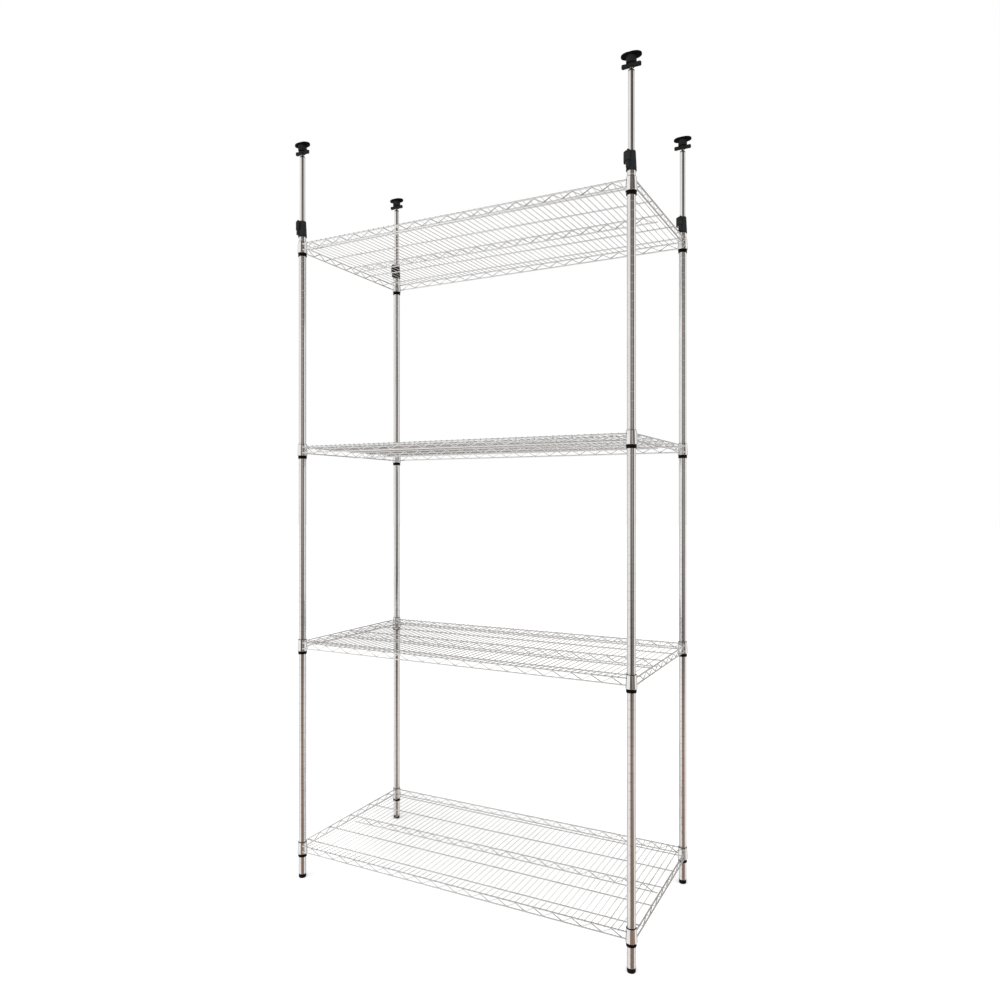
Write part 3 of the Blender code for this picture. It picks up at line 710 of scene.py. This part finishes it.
foot_top = span("foot_front_left")[1]
stud_core = STUD_RADIUS - THREAD_DEPTH
outline = [
    (0, 0, 0),
    (POST_RADIUS, 0, FOOT_ROUNDING),
    (POST_RADIUS, FOOT_CAP, SOFT_RIM),
    (stud_core, FOOT_CAP, 0),
    (stud_core, foot_top, BROAD_RIM),
    (0, foot_top, 0),
]
shape = turned(outline)
turns = add_thread(shape, STUD_RADIUS, FOOT_CAP, foot_top - THREAD_END)
set_at_corners("levelling_foot", "foot", shape, [foot_black], "foot_body")
print("turns on a stud", turns)

# %% [markdown]
# The insert in the post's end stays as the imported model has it: it is hidden by the foot, and its plain ring
# is right. It only gets the grey moulded finish.

# %% Inserts keep their solids
for corner in CORNERS:
    frame["nodes"]["foot_insert_" + corner].material_slots[0].material = insert_grey
print("inserts finished in", insert_grey.name)

# %% [markdown]
# A clip sleeve is a tapered plastic ring that snaps round the post. Only its thick lower rim and its thin
# upper lip show, below and above the shelf's collar. It is open along one side, so its outline is spun almost
# all the way round, and the two ends of the sweep are filled.

# %% Clip sleeves
SLEEVE_SLIT = 1.2 * MM
SLEEVE_TURN = math.radians(18)
SLEEVE_LIP = 1.2 * MM
COLLAR_RAISED = 1.2 * MM
SEAT_FIT = 0.3 * MM
RIM_EASE = 0.3 * MM
RIM_CLEAR = 0.1 * MM

sleeve_radius = half_width("sleeve_bottom_front_left")
sleeve_height = sleeve_top - sleeve_bottom
rim_height = collar_bottom - sleeve_bottom
rim_top = rim_height + COLLAR_RAISED
bore = POST_RADIUS + SEAT_FIT
lip_radius = bore + SLEEVE_LIP


def taper_radius(height):
    """Radius of the sleeve's tapered side at a height above its foot."""
    return sleeve_radius + (lip_radius - sleeve_radius) * (height / sleeve_height)


def about_post(angle):
    """Turn about a post's axis."""
    return Matrix.Rotation(angle, 4, "Z")


shape = bmesh.new()
outline = [
    (bore, 0, FINE_RIM),
    (sleeve_radius, 0, BROAD_RIM),
    (sleeve_radius, rim_top - RIM_EASE, CRISP_RIM),
    (taper_radius(rim_top), rim_top - RIM_CLEAR, 0),
    (lip_radius, sleeve_height, CRISP_RIM),
    (bore, sleeve_height, CRISP_RIM),
]
draw_outline(shape, outline, closed=True)
slit_angle = SLEEVE_SLIT / sleeve_radius
spin_round(shape, shape.verts[:] + shape.edges[:], 2 * math.pi - slit_angle, TURN_STEPS)
close_ends(shape)
opening = about_post(SLEEVE_TURN + slit_angle / 2)
bmesh.ops.transform(shape, matrix=opening, verts=shape.verts[:])
sleeve_mesh = finished_mesh(shape, sleeve_black)
for corner, axis in axes.items():
    for level in LEVELS:
        node = f"sleeve_{level}_{corner}"
        place = axis + Vector((0, 0, span(node)[0]))
        set_piece("clip_" + node, sleeve_mesh, place, "frame", node)
print("sleeves", len(axes) * len(LEVELS), "of", len(sleeve_mesh.polygons), "faces")

# %% [markdown]
# A shelf is made of wire alone, welded where wires cross. One function lays every wire: a small capped circle
# is stood at the start of a path, and its cap is extruded from point to point. At each bend the cap is turned
# half way between the two runs, so that the wire keeps its thickness. Curve objects with a bevel would look
# alike, but they would need a conversion for each of the hundred wires of a shelf.

# %% Laying a wire
THICK_SIDES = 12
THIN_SIDES = 8


def lay_wire(shape, path, diameter, sides):
    """Extrude a round wire along a path."""
    path = [Vector(point) for point in path]
    runs = [(end - start).normalized() for start, end in zip(path, path[1:])]
    headings = [runs[0]] + [(one + two).normalized() for one, two in zip(runs, runs[1:])] + [runs[-1]]
    turn = Vector((0, 0, 1)).rotation_difference(headings[0])
    stand = Matrix.Translation(path[0]) @ turn.to_matrix().to_4x4()
    circle = bmesh.ops.create_circle(shape, cap_ends=True, segments=sides, radius=diameter / 2, matrix=stand)
    cap = circle["verts"][0].link_faces[0]
    for index in range(1, len(path)):
        grown = bmesh.ops.extrude_face_region(shape, geom=[cap], use_keep_orig=index == 1)
        cap = next(item for item in grown["geom"] if isinstance(item, bmesh.types.BMFace))
        turn = headings[index - 1].rotation_difference(headings[index]) @ turn
        moved = Matrix.Translation(path[index]) @ turn.to_matrix().to_4x4()
        bmesh.ops.transform(shape, matrix=moved @ stand.inverted(), verts=cap.verts[:])
        stand = moved


def lay_along_x(shape, reach, y, z, diameter):
    """Lay a straight thick wire along the shelf."""
    lay_wire(shape, [(-reach, y, z), (reach, y, z)], diameter, THICK_SIDES)


def lay_along_y(shape, reach, x, z, diameter, sides=THICK_SIDES):
    """Lay a straight wire across the shelf."""
    lay_wire(shape, [(x, -reach, z), (x, reach, z)], diameter, sides)


# %% [markdown]
# The frame of a shelf has an upper and a lower edge wire on each of its four sides, runners along it that
# carry the deck, and one more wire low down along the middle. Heights are counted from the foot of the
# collars. The edge wires end inside the collars' walls, where they are welded.

# %% Edge wires and runners of a shelf
EDGE_WIRE = 4.4 * MM
RUNNER_WIRE = 4.0 * MM
UPPER_EDGE_DROP = 9.6 * MM
LOWER_EDGE_RISE = 10.8 * MM
EDGE_OUTSET = 11.8 * MM
RUNNER_DROP = 3.3 * MM
MIDDLE_DROP = 3.8 * MM
RUNNER_PITCH = 121.5 * MM
RUNNERS_EACH_SIDE = 2
MIDDLE_SHORT = 7 * MM

collar_height = collar_top - collar_bottom
upper_z = collar_height - UPPER_EDGE_DROP
lower_z = LOWER_EDGE_RISE
runner_z = upper_z - RUNNER_DROP
middle_z = lower_z - MIDDLE_DROP
edge_x = HALF_X + EDGE_OUTSET
edge_y = HALF_Y + EDGE_OUTSET


def collar_bore(height):
    """Radius inside a collar, a fit wider than the sleeve at a height above the collar's foot."""
    return taper_radius(height + rim_height) + SEAT_FIT


def short_of_post(outset, height, diameter):
    """Distance from a post's axis at which a wire that passes beside it stops, in the collar's wall."""
    return math.sqrt(collar_bore(height) ** 2 - (outset - diameter / 2) ** 2)


wires = bmesh.new()
for height in (upper_z, lower_z):
    short = short_of_post(EDGE_OUTSET, height, EDGE_WIRE)
    for side in (-1, 1):
        lay_along_x(wires, HALF_X - short, side * edge_y, height, EDGE_WIRE)
        lay_along_y(wires, HALF_Y - short, side * edge_x, height, EDGE_WIRE)
for row in range(-RUNNERS_EACH_SIDE, RUNNERS_EACH_SIDE + 1):
    lay_along_x(wires, edge_x, row * RUNNER_PITCH, runner_z, RUNNER_WIRE)
lay_along_x(wires, HALF_X - MIDDLE_SHORT, 0, middle_z, RUNNER_WIRE)
print("edge wires and runners have", len(wires.faces), "faces")

# %% [markdown]
# The deck is a row of thin wires from front to back. They lie on the runners, rise a little to pass over the
# edge wires, and dip at their tips so that no end catches a sleeve. One wire is laid, and the rest are copies
# of it. The outermost wire at each end of the deck is shorter: it stops at the collars and is welded to them.

# %% Deck wires
DECK_WIRE = 2.3 * MM
DECK_PITCH = 20.2 * MM
DECK_EACH_SIDE = 28
WELD_DEPTH = 0.5 * MM
RISE_START = 34 * MM
SADDLE_START = 5 * MM
SADDLE_DIP = 0.3 * MM
TIP_START = 2 * MM
TIP_START_DIP = 0.5 * MM
TIP_PAST = 4.2 * MM
TIP_DIP = 2.8 * MM


def points_of(result):
    """The vertices among what an operator made."""
    return [item for item in result["geom"] if isinstance(item, bmesh.types.BMVert)]


deck_z = runner_z + (RUNNER_WIRE + DECK_WIRE) / 2 - WELD_DEPTH
over_z = upper_z + (EDGE_WIRE + DECK_WIRE) / 2 - WELD_DEPTH
half_path = [
    (edge_y - RISE_START, deck_z),
    (edge_y - SADDLE_START, over_z - SADDLE_DIP),
    (edge_y, over_z),
    (edge_y + TIP_START, over_z - TIP_START_DIP),
    (edge_y + TIP_PAST, over_z - TIP_DIP),
]
deck = bmesh.new()
path = [(0, -y, z) for y, z in reversed(half_path)] + [(0, y, z) for y, z in half_path]
lay_wire(deck, path, DECK_WIRE, THIN_SIDES)
one_wire = deck.verts[:] + deck.edges[:] + deck.faces[:]
for index in range(-DECK_EACH_SIDE, DECK_EACH_SIDE + 1):
    if index:
        copied = points_of(bmesh.ops.duplicate(deck, geom=one_wire))
        bmesh.ops.translate(deck, verts=copied, vec=(index * DECK_PITCH, 0, 0))
last_x = (DECK_EACH_SIDE + 1) * DECK_PITCH
reach = HALF_Y - short_of_post(HALF_X - last_x, deck_z, DECK_WIRE)
for x in (-last_x, last_x):
    lay_along_y(deck, reach, x, deck_z, DECK_WIRE, THIN_SIDES)
print("deck wires", 2 * DECK_EACH_SIDE + 3, "with", len(deck.faces), "faces")

# %% [markdown]
# Between an upper and a lower edge wire runs a zigzag that makes the two a truss. Its bends touch the wires
# and are welded there, so the path's corners are set a little past the welds and rounding brings the bends
# back to them. The same function serves the long sides, the short sides and the middle.

# %% Zigzag trusses
TRUSS_WIRE = 2.7 * MM
TRUSS_PERIOD = 60.6 * MM
BEND_TRIM = 5 * MM
BEND_PULL = 1.1 * MM
BEND_STEPS = 3
LONG_BENDS = 19
SHORT_BENDS = 8


def zigzag(bends, upper, lower, wire):
    """Distances and heights of a truss wire's bends between an upper and a lower wire."""
    weld = (wire + TRUSS_WIRE) / 2 - WELD_DEPTH - BEND_PULL
    tops, feet = upper - weld, lower + weld
    return [(index * TRUSS_PERIOD / 2, feet if index % 2 else tops) for index in range(-bends, bends + 1)]


def lay_truss(shape, places):
    """Lay a truss wire through its bends, and round each bend."""
    corners = [Vector(place) for place in places]
    path = [corners[0]]
    for before, corner, after in zip(corners, corners[1:], corners[2:]):
        start = corner + (before - corner).normalized() * BEND_TRIM
        end = corner + (after - corner).normalized() * BEND_TRIM
        for step in range(BEND_STEPS + 1):
            share = step / BEND_STEPS
            path.append(start.lerp(corner, share).lerp(corner.lerp(end, share), share))
    path.append(corners[-1])
    lay_wire(shape, path, TRUSS_WIRE, THIN_SIDES)


trusses = bmesh.new()
long_bends = zigzag(LONG_BENDS, upper_z, lower_z, EDGE_WIRE)
short_bends = zigzag(SHORT_BENDS, upper_z, lower_z, EDGE_WIRE)
for side in (-1, 1):
    lay_truss(trusses, [(x, side * edge_y, z) for x, z in long_bends])
    lay_truss(trusses, [(side * edge_x, y, z) for y, z in short_bends])
lay_truss(trusses, [(x, 0, z) for x, z in zigzag(LONG_BENDS, runner_z, middle_z, RUNNER_WIRE)])
print("trusses have", len(trusses.faces), "faces")

# %% [markdown]
# A collar at each corner is a short tapered tube that wedges down over the sleeve: thick at its foot, thinner
# at its top, with both rims rounded. The collars and all the wires are one welded piece, so their meshes are
# gathered into one. Collars and the thick edge wires shine more than thin wire does, so they keep chromes of
# their own in the second and third material slots.

# %% Collars and the finished shelves
COLLAR_FOOT_WALL = 2.2 * MM
COLLAR_TOP_WALL = 0.9 * MM
COLLAR_FINISH = 1
EDGE_FINISH = 2

outline = [
    (collar_bore(COLLAR_RAISED), COLLAR_RAISED, FINE_RIM),
    (collar_bore(0) + COLLAR_FOOT_WALL, COLLAR_RAISED, SOFT_RIM),
    (collar_bore(collar_height) + COLLAR_TOP_WALL, collar_height, SOFT_RIM),
    (collar_bore(collar_height), collar_height, CRISP_RIM),
]
collar_mesh = finished_mesh(turned(outline, closed=True), collar_chrome)
edge_faces = len(wires.faces)
shelf = bmesh.new()
for part in (wires, deck, trusses):
    bmesh.ops.recalc_face_normals(part, faces=part.faces[:])
    part_mesh = bpy.data.meshes.new("wires")
    part.to_mesh(part_mesh)
    part.free()
    shelf.from_mesh(part_mesh)
wire_faces = len(shelf.faces)
for axis in axes.values():
    placed = collar_mesh.copy()
    placed.transform(Matrix.Translation(axis))
    shelf.from_mesh(placed)
shelf.faces.ensure_lookup_table()
for face in shelf.faces[wire_faces:]:
    face.material_index = COLLAR_FINISH
for face in shelf.faces[:edge_faces]:
    face.material_index = EDGE_FINISH
shelf_mesh = finished_mesh(shelf, wire_chrome, collar_chrome, edge_chrome)
for level in LEVELS:
    node = level + "_shelf"
    place = Vector((0, 0, span(node)[0]))
    set_piece("welded_" + node, shelf_mesh, place, "frame", node)
print("a shelf has", len(shelf_mesh.polygons), "faces")

# %% [markdown]
# The inner pole is a plain chromed tube that slides in the post. Its upper end is closed by a domed plug,
# which also is the nut of the screw jack. Both are turned. The dome is drawn as points on a quarter of an
# ellipse.

# %% Inner poles and their plugs
POLE_WALL = 1.2 * MM
PLUG_LAND = 2.2 * MM
PLUG_BORE = 4.3 * MM
PLUG_RIM = 1.2 * MM
DOME_STEPS = 8

pole_bottom, pole_top = span("inner_pole_front_left")
bore = POLE_RADIUS - POLE_WALL
outline = [
    (bore, pole_bottom, 0),
    (POLE_RADIUS, pole_bottom, TUBE_RIM),
    (POLE_RADIUS, pole_top, TUBE_RIM),
    (bore, pole_top, 0),
]
shape = turned(outline, closed=True)
set_at_corners("sliding_pole", "inner_pole", shape, [pole_chrome], "pole_body")

plug_bottom, plug_top = span("pole_plug_front_left")
seat = pole_top + SEAT_FIT
land = PLUG_BORE + PLUG_LAND
shoulder = seat + PLUG_RIM
outline = [
    (PLUG_BORE, plug_bottom, 0),
    (bore - SEAT_FIT, plug_bottom, SOFT_RIM),
    (bore - SEAT_FIT, seat, 0),
    (POLE_RADIUS, seat, FINE_RIM),
]
for step in range(DOME_STEPS + 1):
    rise = math.pi / 2 * step / DOME_STEPS
    radius = land + (POLE_RADIUS - land) * math.cos(rise)
    outline.append((radius, shoulder + (plug_top - shoulder) * math.sin(rise), 0))
outline.append((PLUG_BORE, plug_top, FINE_RIM))
shape = turned(outline, closed=True)
set_at_corners("domed_plug", "pole_plug", shape, [plug_chrome], "pole_body")

# %% [markdown]
# The clamps, levers and handles have flat parts as well as round ones. A flat part starts as one face with
# the part's outline, which is extruded upwards and bevelled along its two rims. Parts are joined or cut by
# a Boolean modifier, because cutting by hand would break the clean rings of what was turned.

# %% Flat parts, and parts that are joined
RIM_SEGMENTS = 2


def arc(centre, radius, start, end, steps):
    """Points on an arc about a centre, both ends included."""
    turns = [start + (end - start) * step / steps for step in range(steps + 1)]
    return [(centre[0] + radius * math.cos(turn), centre[1] + radius * math.sin(turn)) for turn in turns]


def strip(near, far, width):
    """Outline of a straight strip along X."""
    return [(near, -width / 2), (far, -width / 2), (far, width / 2), (near, width / 2)]


def flat_piece(outline, bottom, top, rounding, segments=RIM_SEGMENTS):
    """Extrude a flat outline upwards and bevel its two rims."""
    shape = bmesh.new()
    base = shape.faces.new([shape.verts.new((x, y, bottom)) for x, y in outline])
    lid = points_of(bmesh.ops.extrude_face_region(shape, geom=[base], use_keep_orig=True))
    bmesh.ops.translate(shape, verts=lid, vec=(0, 0, top - bottom))
    bmesh.ops.recalc_face_normals(shape, faces=shape.faces[:])
    if rounding:
        rims = [edge for edge in shape.edges if abs(edge.verts[0].co.z - edge.verts[1].co.z) < SAME_POINT]
        round_off(shape, rims, "EDGES", rounding, segments)
    return shape


def rod(radius, bottom, top, steps, foot_rim=0, head_rim=0):
    """Turn a round rod between two heights."""
    outline = [(0, bottom, 0), (radius, bottom, foot_rim), (radius, top, head_rim), (0, top, 0)]
    return turned(outline, steps=steps)


def combined(base, operation, tools):
    """Join or cut meshes with a Boolean modifier and return the result as a bmesh."""
    body = bpy.data.objects.new("base", base)
    scene.collection.objects.link(body)
    group = bpy.data.collections.new("tools")
    for tool in tools:
        group.objects.link(bpy.data.objects.new("tool", tool))
    boolean = body.modifiers.new("combine", "BOOLEAN")
    boolean.operation = operation
    boolean.operand_type = "COLLECTION"
    boolean.collection = group
    result = bmesh.new()
    result.from_object(body, bpy.context.evaluated_depsgraph_get())
    for item in [body, *group.objects]:
        bpy.data.objects.remove(item)
    bpy.data.collections.remove(group)
    return result


# %% [markdown]
# Where the pole leaves the post, a black clamp holds it: a sleeve that tapers from the post's width to the
# pole's, with a rounded top. It is turned, and then a slit behind the lever is cut into its upper half, which
# lets that half close on the pole.

# %% Sleeve of a clamp
CLAMP_FOOT_WALL = 2.2 * MM
CLAMP_TOP_WALL = 2.6 * MM
CLAMP_ROUNDING = 1.2 * MM
CLAMP_SLIT = 2 * MM
LEVER_PIVOT_ANGLE = math.radians(185)
LEVER_TIP_ANGLE = math.radians(262)

clamp_bottom, clamp_top = span("clamp_body_front_left")
pole_fit = POLE_RADIUS + SEAT_FIT
post_fit = POST_RADIUS + SEAT_FIT
foot_radius = post_fit + CLAMP_FOOT_WALL
top_radius = pole_fit + CLAMP_TOP_WALL
shoulder = post_top + SEAT_FIT


def clamp_part(shape, placing=Matrix.Identity(4)):
    """Finish a part of the clamp or the lever and move it to its place."""
    mesh = finished_mesh(shape, clamp_black)
    mesh.transform(placing)
    return mesh


outline = [
    (post_fit, clamp_bottom, FINE_RIM),
    (foot_radius, clamp_bottom, BROAD_RIM),
    (top_radius, clamp_top, CLAMP_ROUNDING),
    (pole_fit, clamp_top, FINE_RIM),
    (pole_fit, shoulder, 0),
    (post_fit, shoulder, 0),
]
slit_outline = strip(0, 2 * foot_radius, CLAMP_SLIT)
slit = flat_piece(slit_outline, shoulder + CLAMP_TOP_WALL, clamp_top + CLAMP_TOP_WALL, 0)
slit_mesh = clamp_part(slit, about_post((LEVER_PIVOT_ANGLE + LEVER_TIP_ANGLE) / 2))
cut_clamp = clamp_part(combined(clamp_part(turned(outline, closed=True)), "DIFFERENCE", [slit_mesh]))
print("clamp's sleeve has", len(cut_clamp.polygons), "faces")

# %% [markdown]
# Two ears on the clamp carry the lever's pin, one above and one below the lever, and a rest stands under the
# lever's free end. They reach a little way into the sleeve's wall, so that the join leaves no gap. The pin
# runs from ear to ear, and stands so far out that the lever clears the clamp.

# %% Clamp bodies
LEVER_GAP = 0.6 * MM
LEVER_THICKNESS = 9 * MM
LEVER_HUB = 2.6 * MM
PIVOT_DROP = 2.5 * MM
EAR_THICKNESS = 1.6 * MM
EAR_STEPS = 10
PIN_RADIUS = 1.5 * MM
PIN_STEPS = 20
REST_ANGLE = math.radians(254)
REST_WIDTH = 8 * MM
REST_PROUD = 6.8 * MM
REST_RISE = 4 * MM


def clamp_radius(height):
    """Outer radius of the tapered clamp at a height."""
    share_up = (height - clamp_bottom) / (clamp_top - clamp_bottom)
    return foot_radius + (top_radius - foot_radius) * share_up


lever_bottom, lever_top = span("clamp_lever_front_left")
lever_half = LEVER_THICKNESS / 2
lever_middle = clamp_radius(lever_bottom - PIVOT_DROP) + LEVER_GAP + lever_half
at_pivot = about_post(LEVER_PIVOT_ANGLE)
ear_round = arc((lever_middle, 0), LEVER_HUB, -math.pi / 2, math.pi / 2, EAR_STEPS)
fittings = []
for bottom in (lever_bottom - SEAT_FIT - EAR_THICKNESS, lever_top + SEAT_FIT):
    top = bottom + EAR_THICKNESS
    sunk = clamp_radius(top) - CLAMP_TOP_WALL / 2
    ear = flat_piece([(sunk, lever_half), (sunk, -lever_half), *ear_round], bottom, top, SOFT_RIM)
    fittings.append(clamp_part(ear, at_pivot))
rest_outline = strip(post_fit + SEAT_FIT, foot_radius + REST_PROUD, REST_WIDTH)
rest = flat_piece(rest_outline, clamp_bottom + REST_RISE, lever_bottom - SEAT_FIT, SOFT_RIM)
fittings.append(clamp_part(rest, about_post(REST_ANGLE)))
pin = rod(PIN_RADIUS, lever_bottom - EAR_THICKNESS, lever_top + EAR_THICKNESS, PIN_STEPS)
fittings.append(clamp_part(pin, at_pivot @ Matrix.Translation((lever_middle, 0, 0))))
shape = combined(cut_clamp, "UNION", fittings)
set_at_corners("pole_clamp", "clamp_body", shape, [clamp_black])

# %% [markdown]
# The lever is a thick strip bent round the clamp. It turns on the pin between the ears, and its free end,
# which is thicker and carries a small tab, is what a thumb pulls. Its outline is extruded to its height and
# bevelled along both rims.

# %% Clamp levers
LEVER_STEPS = 18
LEVER_END_STEPS = 8
TAB_RADIUS = 4 * MM
TAB_RISE = 3 * MM
TAB_STEPS = 24

start, end = LEVER_PIVOT_ANGLE, LEVER_TIP_ANGLE
pivot = (lever_middle * math.cos(start), lever_middle * math.sin(start))
tip = (lever_middle * math.cos(end), lever_middle * math.sin(end))


def lever_side(side):
    """Points along the lever's outer or inner side, from the pivot to the tip."""
    points = []
    for step in range(LEVER_STEPS + 1):
        share = step / LEVER_STEPS
        turn = start + (end - start) * share
        radius = lever_middle + side * (LEVER_HUB + (lever_half - LEVER_HUB) * share)
        points.append((radius * math.cos(turn), radius * math.sin(turn)))
    return points


outline = [
    *lever_side(1),
    *arc(tip, lever_half, end, end + math.pi, LEVER_END_STEPS)[1:-1],
    *reversed(lever_side(-1)),
    *arc(pivot, LEVER_HUB, start + math.pi, start + 2 * math.pi, LEVER_END_STEPS)[1:-1],
]
lever = clamp_part(flat_piece(outline, lever_bottom, lever_top, SOFT_RIM))
last_turn = 2 * math.pi * (1 - 1 / TAB_STEPS)
tab_outline = arc(tip, TAB_RADIUS, 0, last_turn, TAB_STEPS - 1)
tab = clamp_part(flat_piece(tab_outline, lever_top - TAB_RISE, lever_top + TAB_RISE, SOFT_RIM))
with_tab = clamp_part(combined(lever, "UNION", [tab]))
hole = rod(PIN_RADIUS + SEAT_FIT, lever_bottom - lever_half, lever_top + lever_half, PIN_STEPS)
hole_mesh = clamp_part(hole, Matrix.Translation((*pivot, 0)))
shape = combined(with_tab, "DIFFERENCE", [hole_mesh])
set_at_corners("bent_lever", "clamp_lever", shape, [clamp_black], "lever_body")

# %% [markdown]
# The screw jack is a threaded rod with a wing handle moulded round it. The rod is a core with the same
# helical tooth as the feet. The handle's outline is two rounded lobes joined to a round hub, extruded and
# bevelled well, because it is made for fingers.

# %% Jack rods and handles
BOLT_RADIUS = 4 * MM
BOLT_STEPS = 24
BOLT_POINT = 0.8 * MM
BOLT_LEAD = 1 * MM
HANDLE_LOBE = 6 * MM
HANDLE_PINCH = 0.8 * MM
HANDLE_HUB_WALL = 5.5 * MM
HANDLE_ROUNDING = 1.6 * MM
HANDLE_SEGMENTS = 4
LOBE_STEPS = 20

bolt_bottom, bolt_top = span("jack_bolt_front_left")
shape = rod(BOLT_RADIUS - THREAD_DEPTH, bolt_bottom, bolt_top, BOLT_STEPS, BOLT_POINT, TUBE_RIM)
turns = add_thread(shape, BOLT_RADIUS, bolt_bottom + BOLT_LEAD, bolt_top)
set_at_corners("jack_rod", "jack_bolt", shape, [thread_steel], "jack_body")
print("turns on a rod", turns)

handle_bottom, handle_top = span("jack_handle_front_left")
hub = BOLT_RADIUS + SEAT_FIT + HANDLE_HUB_WALL
lobe_x = half_width("jack_handle_front_left") - HANDLE_LOBE
waist = HANDLE_LOBE - HANDLE_PINCH
flank = math.pi - math.asin(waist / HANDLE_LOBE)
neck = math.asin(waist / hub)
right = arc((lobe_x, 0), HANDLE_LOBE, -flank, flank, LOBE_STEPS)
back = arc((0, 0), hub, neck, math.pi - neck, LOBE_STEPS)
left = [(-x, -y) for x, y in right]
front = [(-x, -y) for x, y in back]
outline = right + back + left + front
shape = flat_piece(outline, handle_bottom, handle_top, HANDLE_ROUNDING, HANDLE_SEGMENTS)
set_at_corners("wing_handle", "jack_handle", shape, [handle_black], "jack_body")

# %% [markdown]
# At the very top a rubber-faced pad presses against the ceiling. It is turned round in one go: a flat face,
# a thick rounded rim and the tall hub in which the rod's end turns. The two halves of the plate are then
# stretched and pulled apart, which gives it long rounded ends and short straight sides and leaves the hub
# round. It is first turned by half a step, so that no point lies on the line where the halves part.

# %% Ceiling pads
PAD_THICKNESS = 8 * MM
PAD_TOP_RIM = 2.6 * MM
PAD_FOOT_RIM = 1.9 * MM
PAD_HUB_RADIUS = 15 * MM
PAD_HUB_RIM = 1.2 * MM
PAD_STRAIGHT = 12 * MM
SOCKET_DEPTH = 12.3 * MM
PAD_STEPS = 64
HUB_FINISH = 1

hub_bottom, pad_top = span("ceiling_pad_front_left")
pad_low, pad_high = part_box("ceiling_pad_front_left")
pad_radius = (pad_high.y - pad_low.y) / 2
pad_bottom = pad_top - PAD_THICKNESS
socket = BOLT_RADIUS + SEAT_FIT
outline = [
    (0, pad_top, 0),
    (pad_radius, pad_top, PAD_TOP_RIM),
    (pad_radius, pad_bottom, PAD_FOOT_RIM),
    (PAD_HUB_RADIUS, pad_bottom, 0),
    (PAD_HUB_RADIUS, hub_bottom, PAD_HUB_RIM),
    (socket, hub_bottom, FINE_RIM),
    (socket, hub_bottom + SOCKET_DEPTH, 0),
    (0, hub_bottom + SOCKET_DEPTH, 0),
]
shape = turned(outline, steps=PAD_STEPS)
bmesh.ops.transform(shape, matrix=about_post(math.pi / PAD_STEPS), verts=shape.verts[:])


def on_plate(point):
    return point.co.z > pad_bottom + SAME_POINT or point.co.xy.length > PAD_HUB_RADIUS + SAME_POINT


stretch = (half_width("ceiling_pad_front_left") - PAD_STRAIGHT / 2) / pad_radius
for side in (-1, 1):
    half_plate = [point for point in shape.verts if side * point.co.x > SAME_POINT and on_plate(point)]
    bmesh.ops.scale(shape, vec=(stretch, 1, 1), verts=half_plate)
    bmesh.ops.translate(shape, verts=half_plate, vec=(side * PAD_STRAIGHT / 2, 0, 0))
for face in shape.faces:
    if face.calc_center_median().z < pad_bottom - SAME_POINT:
        face.material_index = HUB_FINISH
set_at_corners("rubber_pad", "ceiling_pad", shape, [pad_rubber, handle_black], "pad_body")

# %% [markdown]
# Last, the boxes of the imported model and of the visual model are printed, so that one can see whether the
# visual model stays inside the imported one.

# %% Size of the two models
visual_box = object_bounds()
for name, (low, high) in (("cad", cad_box), ("visual", visual_box)):
    print(name, "box", [round(value, 4) for value in (*low, *high)])
